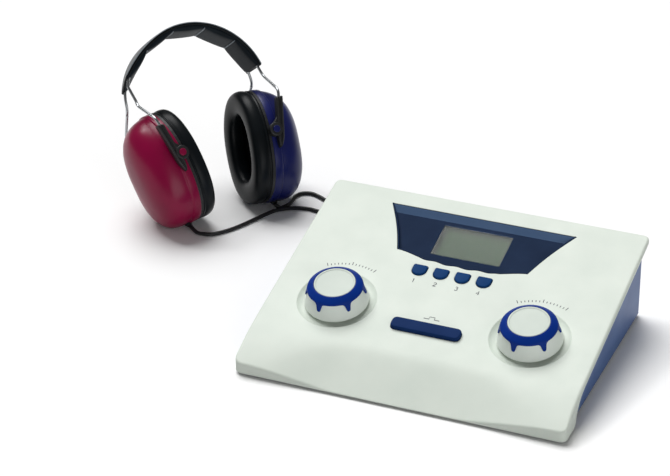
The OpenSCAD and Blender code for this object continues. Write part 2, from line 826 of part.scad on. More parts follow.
// The sound source behind the plate, with its pierced grille in the plate's hole
module cup_driver() {
    translate([0, 0, -pivot_up]) rotate([0, 90, 0])
    difference() {
        union() {
            translate([0, 0, rim_x - plate_t]) cylinder(r = 15.2, h = plate_t);
            translate([0, 0, rim_x]) cylinder(r = 22, h = 9);
            translate([0, 0, rim_x + 8.5]) cylinder(r = 13, h = 8);
        }
        for (a = [0:60:300])
            rotate([0, 0, a]) translate([8.5, 0, rim_x - plate_t - 1]) cylinder(r = 1.6, h = plate_t + 2);
        translate([0, 0, rim_x - plate_t - 1]) cylinder(r = 1.6, h = plate_t + 2);
    }
}

// The cord's strain relief, out of the shell's lower end
module cup_gland() {
    translate(gland_at) rotate([gland_turn, 0, 0]) {
        translate([0, 0, -1.5]) cylinder(r = 3.4, h = 6);
        cylinder(r1 = 2.6, r2 = 2.1, h = gland_tip);
    }
}

module cup_gland_hole() {
    translate(gland_at) rotate([gland_turn, 0, 0])
        translate([0, 0, -3]) cylinder(r = 3.55, h = 30);
}

// side is -1 for the red cup, end is -1 for the front wire's guide
module guide(side, end) {
    slant = tan(wire_slant);
    up = mouth_up;
    function channel_x(z) = mouth_x + (z - mouth_up) * slant;
    half = guide_w / 2;
    color(black)
    on_headset()
    mirror([side < 0 ? 1 : 0, 0, 0])
    mirror([0, end < 0 ? 1 : 0, 0])
    difference() {
        union() {
            translate([0, guide_y + guide_t, 0]) rotate([90, 0, 0])
            linear_extrude(guide_t)
                polygon([[channel_x(up) - half, up], [channel_x(up) + half, up],
                         [channel_x(-tip_down + 6) + half, -tip_down + 6],
                         [channel_x(-tip_down) + 1, -tip_down], [channel_x(-tip_down) - 1.5, -tip_down],
                         [channel_x(-tip_down + 6) - half, -tip_down + 6]]);
            translate([pivot_x, 0, 0]) tube_along_y(6, guide_y, guide_y + guide_t);
            translate([pivot_x, 0, 0]) tube_along_y(pin_r, cup_half_w - 6, guide_y + 1);
        }
        rod([channel_x(-13.5), wire_y, -13.5], [channel_x(up + 3), wire_y, up + 3], wire_r + running);
    }
}

module pivot_caps(side) {
    color(side < 0 ? "#8f1a3a" : "#1c2450")
    on_headset()
    for (end = [-1, 1])
        translate([side * pivot_x, 0, 0])
        mirror([0, end < 0 ? 1 : 0, 0])
            tube_along_y(3.2, guide_y + guide_t, guide_y + guide_t + 0.8);
}

module band_wire(end) {
    slant = tan(wire_slant);
    bend_r = wire_r + 0.06;                      // the wire is a little thicker at its bends
    exit_x = wire_arc_r * cos(pad_end);
    exit_z = band_up + wire_arc_r * sin(pad_end);
    knee = [exit_x + 1.6, end * (wire_half_gap + 2), exit_z - 10];
    top = [mouth_x + (wire_bend_up - mouth_up) * slant, end * wire_y, wire_bend_up];
    foot = [mouth_x + (wire_end_up - mouth_up) * slant, end * wire_y, wire_end_up];
    color(steel)
    on_headset()
    union() {
        translate([0, end * wire_half_gap, band_up]) rotate([90, 0, 0]) rotate([0, 0, pad_end])
            rotate_extrude(angle = 180 - 2 * pad_end) translate([wire_arc_r, 0]) circle(wire_r, $fn = 24);
        for (side = [-1, 1])
            mirror([side < 0 ? 1 : 0, 0, 0]) {
                translate([exit_x, end * wire_half_gap, exit_z]) sphere(r = bend_r, $fn = 24);
                rod([exit_x, end * wire_half_gap, exit_z], knee, wire_r);
                translate(knee) sphere(r = bend_r, $fn = 24);
                rod(knee, top, wire_r);
                translate(top) sphere(r = bend_r, $fn = 24);
                rod(top, foot, wire_r);
            }
    }
}

module headband_pad() {
    inner = band_r - band_t;
    color(black)
    on_headset()
    translate([0, 0, band_up]) rotate([90, 0, 0]) rotate([0, 0, pad_end])
    rotate_extrude(angle = 180 - pad_end - pad_end_left)
        difference() {
            union() {
                translate([inner, -band_w / 2 + 2]) square([band_t, band_w - 4]);
                translate([inner + 2, -band_w / 2]) square([band_t - 4, band_w]);
                for (x = [inner + 2, band_r - 2], y = [-band_w / 2 + 2, band_w / 2 - 2])
                    translate([x, y]) circle(2, $fn = 24);
            }
            for (end = [-1, 1])
                translate([wire_arc_r, end * wire_half_gap]) circle(wire_r + 0.02, $fn = 24);
        }
}

// ---- cords ---------------------------------------------------------------

// A point of the smooth curve through four neighbouring route points
function curve(a, b, c, d, t) =
    0.5 * (2 * b + (c - a) * t + (2 * a - 5 * b + 4 * c - d) * t * t
           + (3 * b - a - 3 * c + d) * t * t * t);
function smooth(p) = [
    for (i = [0:len(p) - 2])
        let (long = norm(p[i + 1] - p[i]) > 13,
             a = p[max(i - 1, 0)], d = p[min(i + 2, len(p) - 1)])
        for (t = long ? [0, 0.5] : [0]) curve(a, p[i], p[i + 1], d, t),
    p[len(p) - 1]];
function unit(v) = v / norm(v);

// The cords' routes over the table, chosen by hand between the gland and the coil
function start(side, on) = headset_at + cup_point(side, gland_at + (gland_tip + on) * gland_way);
lay = cord_r;                                    // height of a cord's middle on the table
red_route = concat([start(-1, 0.8), start(-1, 2.4)],
    [for (p = [[-259.5, 90.6], [-253, 90.6], [-246, 93], [-238, 102], [-231, 114],
               [-222, 135], [-214, 152.8], [-206, 160.3], [-197, 165.2], [-187, 167.2],
               [-178, 166], [-164, 167], [-149, 172]]) [p[0], p[1], lay]],
    [for (p = [[-38, 13], [-24, 21], [-13, 23.6], [-7, coil_out]])
        red_coil_at + [p[0], p[1], lay]]);
blue_route = concat([start(1, 0.8), start(1, 2.2)],
    [for (p = [[-212.2, 159.3], [-209, 163.2], [-207, 169], [-207.5, 177], [-208, 185],
               [-205, 192], [-197, 195], [-188, 192], [-179, 187], [-168, 184], [-154, 187],
               [-140, 195], [-124, 203], [-106, 208], [-86, 209]]) [p[0], p[1], lay]],
    [for (p = [[-50, 40], [-33, 35], [-19, 28.5], [-7, coil_out]])
        blue_coil_at + [p[0], p[1], lay]]);

// From the top of a coil round to the plug
function tail(at, x) =
    let (c = at + [0, coil_out, coil_h - cord_r], p = [x, plug_back_y + 0.7, jack_z])
    [c, c + [11, 0.5, -2.5], c + [22, 1.7, -7.9], c + [31, 2.9, -10], c + [39, 1.4, -9.7],
     p + [-0.5, 38, -24], p + [1.2, 29.6, -16], p + [0.6, 20.6, -8], p + [0, 11.6, -1.6],
     p + [0, 3, 0], p];

// A tube of eight sides along a route
module cord_tube(route) {
    line = smooth(route);
    n = len(line);
    points = [
        for (i = [0:n - 1])
            let (t = unit(line[min(i + 1, n - 1)] - line[max(i - 1, 0)]),
                 side = unit(cross(t, [0, 0, 1])), up = cross(side, t))
            for (k = [0:7])
                line[i] + cord_r * (cos(k * 45 + 22.5) * side + sin(k * 45 + 22.5) * up)];
    polyhedron(points,
        [[for (k = [7:-1:0]) k],
         for (i = [0:n - 2], k = [0:7])
            [i * 8 + k, i * 8 + (k + 1) % 8, (i + 1) * 8 + (k + 1) % 8, (i + 1) * 8 + k],
         [for (k = [0:7]) (n - 1) * 8 + k]]);
}

module cord(route, tail) {
    color(black) {
        cord_tube(route);
        cord_tube(tail);
    }
}

// The outer shape of a coil of cord that lies on the table
module coil(at) {
    color(black)
    translate([at[0], at[1], 0])
    rotate_extrude()
        translate([coil_mid_r - coil_half_w, 0]) square([2 * coil_half_w, coil_h]);
}

module plug(x) {
    color(black)
    translate([x, 0, jack_z]) {
        tube_along_y(plug_pin_r, jack_face_y - jack_bore_l + 1.5, plug_face_y + 1);
        tube_along_y(plug_handle_r, plug_face_y, plug_face_y + plug_handle_l);
        translate([0, plug_back_y, 0]) rotate([90, 0, 0])
            cylinder(r1 = cord_r + 0.7, r2 = cord_r + 2.3, h = plug_relief_l + 1);
    }
}

// ---- nodes ---------------------------------------------------------------

module level_knob_body() knob_body(-1);
module level_knob_crown() knob_crown(-1);
module level_knob_disc() knob_disc(-1);
module level_shaft() shaft(-1);
module level_encoder() encoder(-1);
module frequency_knob_body() knob_body(1);
module frequency_knob_crown() knob_crown(1);
module frequency_knob_disc() knob_disc(1);
module frequency_shaft() shaft(1);
module frequency_encoder() encoder(1);
module ear_shell(side, tint) {
    color(tint)
    on_cup(side) difference() {
        cup_shell();
        cup_gland_hole();
    }
}

top_cover();
base_shell();
display_bezel();
display_window();
lcd_module();
main_board();
key_switches();
function_key(1);  // function_key_1
function_key(2);  // function_key_2
function_key(3);  // function_key_3
function_key(4);  // function_key_4
tone_bar();
tone_switch();
level_knob_body();
level_knob_crown();
level_knob_disc();
level_shaft();
level_encoder();
frequency_knob_body();
frequency_knob_crown();
frequency_knob_disc();
frequency_shaft();
frequency_encoder();
encoder_nuts();
phone_jack(right_jack_x);  // right_jack
phone_jack(left_jack_x);  // left_jack
phone_jack(response_jack_x);  // response_jack
power_inlet();
rocker_housing();
power_rocker();
rubber_feet();
case_screws();
board_screws();
headband_pad();
band_wire(-1);  // front_wire
band_wire(1);  // rear_wire
guide(-1, -1);  // red_front_guide
guide(-1, 1);  // red_rear_guide
guide(1, -1);  // blue_front_guide
guide(1, 1);  // blue_rear_guide
pivot_caps(-1);  // red_pivot_caps
pivot_caps(1);  // blue_pivot_caps
ear_shell(-1, "#8f1a3a");  // red_shell
color(black) on_cup(-1) cup_plate();  // red_plate
color(black) on_cup(-1) cup_cushion();  // red_cushion
color(steel) on_cup(-1) cup_driver();  // red_driver
color(black) on_cup(-1) cup_gland();  // red_gland
ear_shell(1, "#1c2450");  // blue_shell
color(black) on_cup(1) cup_plate();  // blue_plate
color(black) on_cup(1) cup_cushion();  // blue_cushion
color(steel) on_cup(1) cup_driver();  // blue_driver
color(black) on_cup(1) cup_gland();  // blue_gland
cord(red_route, tail(red_coil_at, right_jack_x));  // red_cord
cord(blue_route, tail(blue_coil_at, left_jack_x));  // blue_cord
coil(red_coil_at);  // red_coil
coil(blue_coil_at);  // blue_coil
plug(right_jack_x);  // red_plug
plug(left_jack_x);  // blue_plug
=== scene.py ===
# Looks of the hearing-test console and its headset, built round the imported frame.
# Lengths are written in millimetres and turned into metres where a mesh is made.
from math import acos, atan, copysign, cos, exp, pi, radians, sin, tan

import bmesh
import bpy
import numpy as np
from mathutils import Matrix, Vector
from mathutils.geometry import delaunay_2d_cdt


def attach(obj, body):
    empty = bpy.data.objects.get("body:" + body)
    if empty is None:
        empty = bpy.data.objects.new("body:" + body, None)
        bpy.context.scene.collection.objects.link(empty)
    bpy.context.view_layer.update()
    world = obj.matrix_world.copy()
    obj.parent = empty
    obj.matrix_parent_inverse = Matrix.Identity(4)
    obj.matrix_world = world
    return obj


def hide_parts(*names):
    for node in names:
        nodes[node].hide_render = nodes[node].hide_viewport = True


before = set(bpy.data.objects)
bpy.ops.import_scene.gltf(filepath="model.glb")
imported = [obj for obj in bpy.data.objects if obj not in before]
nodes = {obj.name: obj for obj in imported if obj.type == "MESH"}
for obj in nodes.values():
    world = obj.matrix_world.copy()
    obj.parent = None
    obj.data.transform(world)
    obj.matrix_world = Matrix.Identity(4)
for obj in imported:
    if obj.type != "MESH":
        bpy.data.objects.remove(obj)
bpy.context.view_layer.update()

MM = 0.001
SIDES = {-1: "red", 1: "blue"}

# ---- camera ----

AZIMUTH, ELEVATION, ROLL = (radians(a) for a in (22.753, 28.297, -0.281))
CAMERA_AT = (0.56505, -1.56891, 0.99131)
LENS, SENSOR = 131.27, 36


def camera():
    flat = cos(ELEVATION)
    back = Vector((sin(AZIMUTH) * flat, -cos(AZIMUTH) * flat, sin(ELEVATION)))
    right = Vector((0, 0, 1)).cross(back).normalized()
    up = back.cross(right)
    c, s = cos(ROLL), sin(ROLL)
    turned = Matrix((c * right + s * up, c * up - s * right, back)).transposed().to_4x4()
    data = bpy.data.cameras.new("camera")
    data.lens, data.sensor_width = LENS, SENSOR
    obj = bpy.data.objects.new("camera", data)
    obj.matrix_world = Matrix.Translation(CAMERA_AT) @ turned
    bpy.context.scene.collection.objects.link(obj)
    bpy.context.scene.camera = obj


camera()

# ---- frames of the console's panel and of the headset ----

# The console's width and depth, and the panel's height at its front and back edges
W, D, FRONT, BACK = 270.0, 212.0, 17.3, 71.0
SLOPE = atan((BACK - FRONT) / D)
CO, SI = cos(SLOPE), sin(SLOPE)


def panel(x, s, h=0.0):
    """A point x across the panel, s up its slope from the front edge and h above it."""
    return np.array([x, -D / 2 + s * CO - h * SI, FRONT + s * SI + h * CO])


def panel_z(y):
    return FRONT + (y + D / 2) * tan(SLOPE)


# The headset is turned on the table and leans back; its middle is between the cups' pivots
TURN, LEAN = radians(52), radians(36)
U = np.array([cos(TURN), sin(TURN), 0])
V = np.array([-sin(TURN) * cos(LEAN), cos(TURN) * cos(LEAN), -sin(LEAN)])
T = np.array([-sin(TURN) * sin(LEAN), cos(TURN) * sin(LEAN), cos(LEAN)])
HEADSET = np.array([-269, 146.5, 52.415])
TILT = {-1: radians(9), 1: radians(7)}
PIVOT_X = 45


def hs(p):
    """A point in the headset's frame: across, front to rear, up."""
    return HEADSET + p[0] * U + p[1] * V + p[2] * T


def cup(side, p):
    """A point in a tilted cup's frame: outwards, front to rear, up from the pivot."""
    c, s = cos(TILT[side]), sin(TILT[side])
    return hs((side * (PIVOT_X + p[0] * c + p[2] * s), p[1], p[2] * c - p[0] * s))


# ---- mesh helpers ----

def add_mesh(name, verts, faces, smooth=True, weighted=False):
    mesh = bpy.data.meshes.new(name)
    mesh.from_pydata([tuple(np.asarray(v, float) * MM) for v in verts], [],
                     [tuple(map(int, f)) for f in faces])
    mesh.validate()
    obj = bpy.data.objects.new(name, mesh)
    bpy.context.scene.collection.objects.link(obj)
    mesh.polygons.foreach_set("use_smooth", [smooth] * len(mesh.polygons))
    if weighted:
        obj.modifiers.new("even_shading", "WEIGHTED_NORMAL").keep_sharp = True
    bm = bmesh.new()
    bm.from_mesh(mesh)
    bmesh.ops.recalc_face_normals(bm, faces=bm.faces)
    bm.to_mesh(mesh)
    bm.free()
    return obj


def turn(n):
    """n angles, evenly round a full turn."""
    return np.linspace(0, 2 * pi, n, endpoint=False)


def bezier(p, corner, q, t):
    return (1 - t) ** 2 * p + 2 * t * (1 - t) * corner + t * t * q


def towards(a, b):
    return (b - a) / np.linalg.norm(b - a)


def bridge(a, b):
    """Faces between two closed rings of point numbers."""
    n = len(a)
    return [(a[k], a[(k + 1) % n], b[(k + 1) % n], b[k]) for k in range(n)]


def loft(rings, closed=False, caps=(True, True)):
    """Faces between rings of one length each; closed joins the last ring to the first."""
    n, m = len(rings[0]), len(rings)
    verts = [p for ring in rings for p in ring]
    rows = [range(i * n, i * n + n) for i in range(m)]
    faces = []
    for i in range(m if closed else m - 1):
        faces += bridge(rows[i], rows[(i + 1) % m])
    if not closed:
        if caps[0]:
            faces.append(tuple(reversed(rows[0])))
        if caps[1]:
            faces.append(tuple(rows[-1]))
    return verts, faces


def join(*parts):
    verts, faces = [], []
    for v, f in parts:
        faces += [tuple(i + len(verts) for i in face) for face in f]
        verts += list(v)
    return verts, faces


def lathe(profile, place, n=96, closed=False):
    """profile is (radius, height) pairs; place turns x, y and height into a point."""
    rings = [[place(r * cos(a), r * sin(a), h) for a in turn(n)] for r, h in profile]
    return loft(rings, closed=closed)


def tube(path, radius, sides=12):
    """A round bar along a path; radius is a number, or a function of the way along it."""
    path = np.asarray(path, float)
    last = len(path) - 1
    rings = []
    for i, p in enumerate(path):
        along = towards(path[max(i - 1, 0)], path[min(i + 1, last)])
        across = np.cross(along, (0, 0, 1.0))
        if np.linalg.norm(across) < 0.2:
            across = np.cross(along, (1.0, 0, 0))
        across = across / np.linalg.norm(across)
        third = np.cross(across, along)
        r = radius(i / last) if callable(radius) else radius
        rings.append([p + r * (cos(a) * across + sin(a) * third) for a in turn(sides)])
    return loft(rings)


def inset(loop, d):
    """A dense closed loop in the plane moved inwards by d, or by one value for each point."""
    p = np.asarray(loop, float)
    t = np.roll(p, -1, 0) - np.roll(p, 1, 0)
    t /= np.linalg.norm(t, axis=1)[:, None]
    area = 0.5 * np.sum(p[:, 0] * np.roll(p[:, 1], -1) - np.roll(p[:, 0], -1) * p[:, 1])
    n = np.stack([-t[:, 1], t[:, 0]], 1) * (1 if area > 0 else -1)
    return p + n * (np.asarray(d)[:, None] if np.ndim(d) else d)


def dense(corners, radii, step=3.0, arc_points=6):
    """Closed polygon with rounded corners, its points about step apart."""
    c = [np.asarray(p, float) for p in corners]
    n, cuts, out = len(c), [], []
    for i in range(n):
        u, v = towards(c[i], c[i - 1]), towards(c[i], c[(i + 1) % n])
        run = radii[i] / tan(acos(np.clip(np.dot(u, v), -1, 1)) / 2)
        cuts.append((c[i] + u * run, c[i] + v * run))
    for i in range(n):
        p, q = cuts[i]
        if radii[i] > 0:
            out += [bezier(p, c[i], q, t) for t in np.linspace(0, 1, arc_points, endpoint=False)]
        ahead = cuts[(i + 1) % n][0]
        m = max(1, int(np.linalg.norm(ahead - q) / step))
        out += [q + (ahead - q) * j / m for j in range(m)]
    return np.array(out)


def box(half_x, half_y, middle=(0, 0)):
    """The four corners of a rectangle."""
    signs = ((-1, -1), (1, -1), (1, 1), (-1, 1))
    return [(middle[0] + sx * half_x, middle[1] + sy * half_y) for sx, sy in signs]


def inside(points, loop):
    p, q = np.asarray(loop), np.roll(loop, -1, 0)
    x, y = points[:, 0][:, None], points[:, 1][:, None]
    hit = (p[:, 1] > y) != (q[:, 1] > y)
    with np.errstate(divide="ignore", invalid="ignore"):
        cross = x < (q[:, 0] - p[:, 0]) * (y - p[:, 1]) / (q[:, 1] - p[:, 1]) + p[:, 0]
    return (hit & cross).sum(1) % 2 == 1


def between(points, loops, margin=0.0):
    """Which points lie within the first loop and outside the others, by at least a margin."""
    keep = inside(points, inset(loops[0], margin))
    for hole in loops[1:]:
        keep &= ~inside(points, inset(hole, -margin))
    return keep


def fill(outer, holes, extra=(), margin=0.6):
    """Triangles between a closed loop and its holes: points, triangles and each loop's point numbers."""
    loops = [np.asarray(outer)] + [np.asarray(h) for h in holes]
    pts, edges, ids = [], [], []
    for loop in loops:
        k = len(pts)
        ids.append(list(range(k, k + len(loop))))
        edges += [(k + i, k + (i + 1) % len(loop)) for i in range(len(loop))]
        pts += [tuple(p) for p in loop]
    if len(extra):
        extra = np.asarray(extra)
        pts += [tuple(p) for p in extra[between(extra, loops, margin)]]
    out, _, tris, origin, _, _ = delaunay_2d_cdt([Vector(p) for p in pts], edges, [], 1, 1e-5)
    where = {j: i for i, came_from in enumerate(origin) for j in came_from}
    xy = np.array([tuple(v) for v in out])
    mid = np.array([xy[list(t)].mean(0) for t in tris])
    keep = between(mid, loops)
    return xy, [t for t, k in zip(tris, keep) if k], [[where[i] for i in loop] for loop in ids]


# ---- cords ----

CORD_R = 1.7
CORD_D = 2 * CORD_R
LAYERS, ROWS = 4, 3            # of the coils
COIL_IN, COIL_OUT = 13.9, 24.1
COILS = {-1: (-95.0, 168.0), 1: (-15.0, 168.0)}
COIL_TURNS = {-1: 14, 1: 13}   # whole, so that a winding starts and ends at the coil's back
PLUG_X = {-1: -50, 1: 30}
PLUG_Z = 30

GLAND_AT = np.array([4.5, 4, -52])
GLAND_TURN = radians(150)
GLAND_WAY = np.array([0, -sin(GLAND_TURN), cos(GLAND_TURN)])
GLAND_ACROSS = np.array([0, cos(GLAND_TURN), sin(GLAND_TURN)])
GLAND_TIP = 6.4


def smooth_line(points, step=3.0):
    """Points about step apart on a curve that runs through all the given ones."""
    def at(a, b, c, d, t):
        return 0.5 * (2 * b + (c - a) * t + (2 * a - 5 * b + 4 * c - d) * t * t
                      + (3 * b - a - 3 * c + d) * t ** 3)

    p = [np.asarray(q, float) for q in points]
    out = []
    for i in range(len(p) - 1):
        a, b, c, d = p[max(i - 1, 0)], p[i], p[i + 1], p[min(i + 2, len(p) - 1)]
        n = max(1, int(round(np.linalg.norm(c - b) / step)))
        out += [at(a, b, c, d, t) for t in np.linspace(0, 1, n, endpoint=False)]
    return out + [p[-1]]


def gland_point(side, on):
    return cup(side, GLAND_AT + (GLAND_TIP + on) * GLAND_WAY)


def lying(points):
    return [np.array([x, y, CORD_R]) for x, y in points]


def by_coil(side, points):
    return [(COILS[side][0] + x, COILS[side][1] + y) for x, y in points]


def coil_line(side, per_turn=22):
    """Wound from the bottom outer turn at the back, clockwise, layer by layer, to the top outer turn."""
    turns = COIL_TURNS[side]
    climb = (turns - LAYERS * ROWS) / (LAYERS - 1)
    out = []
    for k in range(turns * per_turn + 1):
        t = k / per_turn
        layer = min(int(t // (ROWS + climb)), LAYERS - 1)
        on = t - layer * (ROWS + climb)
        flat = min(on, ROWS)
        lift = 0.0 if layer == LAYERS - 1 else max(0.0, on - ROWS) / climb
        r = COIL_OUT - CORD_D * flat if layer % 2 == 0 else COIL_IN + CORD_D * flat
        z = CORD_R + CORD_D * (layer + lift * lift * (3 - 2 * lift))
        a = pi / 2 - 2 * pi * t
        out.append(np.array([COILS[side][0] + r * cos(a), COILS[side][1] + r * sin(a), z]))
    return out


def tail(side):
    """From the top of the coil over its edge and up into the plug."""
    coil_top = np.array([COILS[side][0], COILS[side][1] + COIL_OUT, CORD_R + (LAYERS - 1) * CORD_D])
    plug_end = np.array([PLUG_X[side], 148.4, PLUG_Z])
    down = ((0, 0, 0), (11, 0.5, -2.5), (22, 1.7, -7.9), (31, 2.9, -10), (39, 1.4, -9.7))
    rise = ((-0.5, 38, -24), (1.2, 29.6, -16), (0.6, 20.6, -8), (0, 11.6, -1.6), (0, 3, 0), (0, 0, 0),
            (0, -7, 0), (0, -14, 0))
    return [coil_top + q for q in down] + [plug_end + q for q in rise]


# The cords' lay over the table, listed between each gland and coil
routes = {
    -1: [gland_point(-1, 0.8), gland_point(-1, 2.4)] + lying([
        (-259.5, 90.6), (-253, 90.6), (-246, 93), (-238, 102), (-231, 114), (-222, 135), (-214, 152.8),
        (-206, 160.3), (-197, 165.2), (-187, 167.2), (-178, 166), (-164, 167), (-149, 172)]
        + by_coil(-1, [(-38, 13), (-24, 21), (-13, 23.6), (-7, COIL_OUT), (0, COIL_OUT)])),
    1: [gland_point(1, 0.8), gland_point(1, 2.2)] + lying([
        (-212.2, 159.3), (-209, 163.2), (-207, 169), (-207.5, 177), (-208, 185), (-205, 192), (-197, 195),
        (-188, 192), (-179, 187), (-168, 184), (-154, 187), (-140, 195), (-124, 203), (-106, 208), (-86, 209)]
        + by_coil(1, [(-50, 40), (-33, 35), (-19, 28.5), (-7, COIL_OUT), (0, COIL_OUT)])),
}
cords = {}
for side, who in SIDES.items():
    path = np.array(smooth_line(routes[side]) + coil_line(side)[1:-1] + smooth_line(tail(side)))
    length = float(np.linalg.norm(np.diff(path, axis=0), axis=1).sum())
    print(who, "cord centreline", round(length), "mm,", len(path), "rings")
    cords[side] = (add_mesh(who + "_cord_tube", *tube(path, CORD_R, 10)), path)

# ---- materials ----

def rgb(hex_code):
    c = [int(hex_code[i:i + 2], 16) / 255 for i in (1, 3, 5)]
    return tuple(v / 12.92 if v <= 0.04045 else ((v + 0.055) / 1.055) ** 2.4 for v in c) + (1.0,)


def plug_in(tree, node, inputs):
    for socket, value in dict(inputs).items():
        if isinstance(value, bpy.types.NodeSocket):
            tree.links.new(value, node.inputs[socket])
        else:
            node.inputs[socket].default_value = value


def add_node(tree, kind, inputs=(), **settings):
    """A new shader node; each input takes a value or another node's output."""
    node = tree.nodes.new("ShaderNode" + kind)
    for name, value in settings.items():
        setattr(node, name, value)
    plug_in(tree, node, inputs)
    return node


def material(name, tint, other, rough, grain=1500, bump=0.04, depth=0.0002, patch=35, metallic=0.0,
             specular=0.5, cells=False, stretch=(1, 1, 1)):
    """Colour varies softly from tint to other over patches, with a fine grain in bump and roughness."""
    mat = bpy.data.materials.new(name)
    mat.use_nodes = True
    tree = mat.node_tree
    whole = add_node(tree, "TexCoord").outputs["Object"]
    place = add_node(tree, "Mapping", {"Vector": whole, "Scale": stretch}).outputs[0]
    soft = add_node(tree, "TexNoise", {"Vector": place, "Scale": patch, "Detail": 3}).outputs["Fac"]
    ramp = add_node(tree, "ValToRGB", {"Fac": soft})
    for stop, position, colour in zip(ramp.color_ramp.elements, (0.25, 0.75), (tint, other)):
        stop.position, stop.color = position, rgb(colour)
    if cells:
        fine = add_node(tree, "TexVoronoi", {"Vector": place, "Scale": grain}, feature="DISTANCE_TO_EDGE")
    else:
        fine = add_node(tree, "TexNoise", {"Vector": place, "Scale": grain, "Detail": 4})
    height = fine.outputs["Distance" if cells else "Fac"]
    bumps = add_node(tree, "Bump", {"Strength": bump, "Distance": depth, "Height": height})
    spread = add_node(tree, "MapRange", {"Value": soft, "To Min": rough[0], "To Max": rough[1]})
    plug_in(tree, tree.nodes["Principled BSDF"], {
        "Base Color": ramp.outputs["Color"], "Roughness": spread.outputs["Result"],
        "Normal": bumps.outputs["Normal"], "Metallic": metallic, "Specular IOR Level": specular})
    return mat


mats = {
    "cover": material("moulded_white", "#e0e8de", "#d9e2d8", (0.42, 0.55), 2600, 0.05, specular=0.3),
    "side_blue": material("moulded_blue", "#43659c", "#3b5a90", (0.4, 0.52), 2200, 0.08),
    "bezel": material("satin_navy", "#1e2f4b", "#192841", (0.34, 0.46), 1500, 0.05, specular=0.012),
    "bezel_strip": material("lit_navy", "#52698a", "#496183", (0.34, 0.46), 1500, 0.05, specular=0.05),
    "keys": material("key_blue", "#174379", "#13396b", (0.36, 0.48), 1800, 0.08, specular=0.02),
    "bar": material("bar_navy", "#1b3566", "#162d59", (0.4, 0.52), 1800, 0.1, specular=0.015),
    "crown": material("royal_blue", "#0c3590", "#0a2e82", (0.34, 0.46), 1800, 0.06, specular=0.08),
    "knob": material("knob_body_white", "#edf4ed", "#e6ede6", (0.4, 0.52), 2200, 0.05, specular=0.25),
    "disc": material("knob_white", "#d6dfd6", "#cdd7ce", (0.4, 0.52), 2200, 0.05, specular=0.2),
    "steel": material("drawn_steel", "#b9bcbe", "#9a9da0", (0.2, 0.34), 500, 0.12, metallic=1.0,
                      stretch=(1, 1, 0.15), patch=160),
    "black": material("moulded_black", "#17191b", "#101214", (0.42, 0.58), 1700, 0.12, 0.0003),
    "grey": material("moulded_grey", "#5c6268", "#4d5358", (0.45, 0.6), 1500, 0.1),
    "board": material("lacquered_board", "#2c6844", "#23583a", (0.3, 0.45), 420, 0.15, patch=220),
    "rubber": material("rubber", "#1b1b1c", "#131314", (0.75, 0.9), 900, 0.25, 0.0004),
    "vinyl": material("soft_vinyl", "#0b0f11", "#11161a", (0.3, 0.42), 700, 0.2, 0.0003, specular=0.14,
                      cells=True),
    "vinyl_in": material("band_lining", "#151e25", "#10171c", (0.42, 0.58), 620, 0.35, 0.0004, specular=0.1,
                         cells=True),
    # light grey that paints the highlight along the band's edges onto the welts; the ribs over the seams take
    # the same light tone
    "welt": material("welt_with_painted_highlight", "#8e979e", "#6f7880", (0.5, 0.62), 900, 0.3, 0.0003, patch=200),
    "foam": material("ear_foam", "#07080b", "#040506", (0.9, 1.0), 950, 0.9, 0.0009, 900, specular=0.02),
    "red": material("crimson_shell", "#92043f", "#800236", (0.25, 0.35), 1400, 0.04, specular=0.25),
    "navy": material("navy_shell", "#131c60", "#0e1550", (0.28, 0.38), 1400, 0.04, specular=0.3),
    "cord": material("cord_sheath", "#17181a", "#0f1011", (0.38, 0.5), 900, 0.15),
    "ink": material("grey_ink", "#3c424c", "#30363f", (0.5, 0.6), 2500, 0.05),
    "lcd": material("liquid_crystal", "#4e674f", "#475f48", (0.2, 0.3), 1300, 0.02, patch=60, specular=0.02),
    "glass": material("clear_window", "#e8efe8", "#dfe8df", (0.04, 0.08), 300, 0.02),
}
# The window over the display is almost clear and only adds gloss
mats["glass"].node_tree.nodes["Principled BSDF"].inputs["Alpha"].default_value = 0.1

# Sockets of a colour mix node
MIX_FACTOR, MIX_A, MIX_B, MIX_RESULT = 0, 6, 7, 2


def display_border_and_painted_shadow(tree, colour, middle):
    """Give the display a thin dark border round its grey-green field, widened at the top and left into a soft
    painted shadow of the window's recess.
    """
    def sum_up(op, a, b):
        return add_node(tree, "Math", {0: a, 1: b}, operation=op).outputs[0]

    def from_edge(value, at, width):
        """0 at the border's outer line, 1 from width further on; a negative width goes the other way."""
        limits = {"Value": value, "From Min": at, "From Max": at + width}
        return add_node(tree, "MapRange", limits, interpolation_type="SMOOTHSTEP").outputs["Result"]

    xyz = add_node(tree, "SeparateXYZ", {0: add_node(tree, "TexCoord").outputs["Object"]}).outputs
    up_y = sum_up("MULTIPLY", sum_up("SUBTRACT", xyz["Y"], middle[1] * MM), CO)
    up_z = sum_up("MULTIPLY", sum_up("SUBTRACT", xyz["Z"], middle[2] * MM), SI)
    slope = sum_up("ADD", up_y, up_z)
    # the wide soft fades at the left and top edges are painted shadow from the recess; the right and bottom
    # edges get only a thin dark border
    field = from_edge(xyz["X"], -0.0285, 0.0075)
    for value, at, width in ((xyz["X"], 0.0292, -0.0015), (slope, 0.0172, -0.0065), (slope, -0.0178, 0.0012)):
        field = sum_up("MULTIPLY", field, from_edge(value, at, width))
    base = tree.nodes["Principled BSDF"].inputs["Base Color"]
    blend = {MIX_FACTOR: field, MIX_A: rgb(colour), MIX_B: base.links[0].from_socket}
    tree.links.new(add_node(tree, "Mix", blend, data_type="RGBA").outputs[MIX_RESULT], base)


# The window in the bezel: its middle up the panel, and its half sizes
WINDOW_S, WINDOW_X, WINDOW_Y = 172.5, 29.5, 18.0
BEZEL_FOOT = -4.8
# the dark colour of the display's thin border and of the painted shadow along its top and left
display_border_and_painted_shadow(mats["lcd"].node_tree, "#28332f", panel(0, WINDOW_S, BEZEL_FOOT))


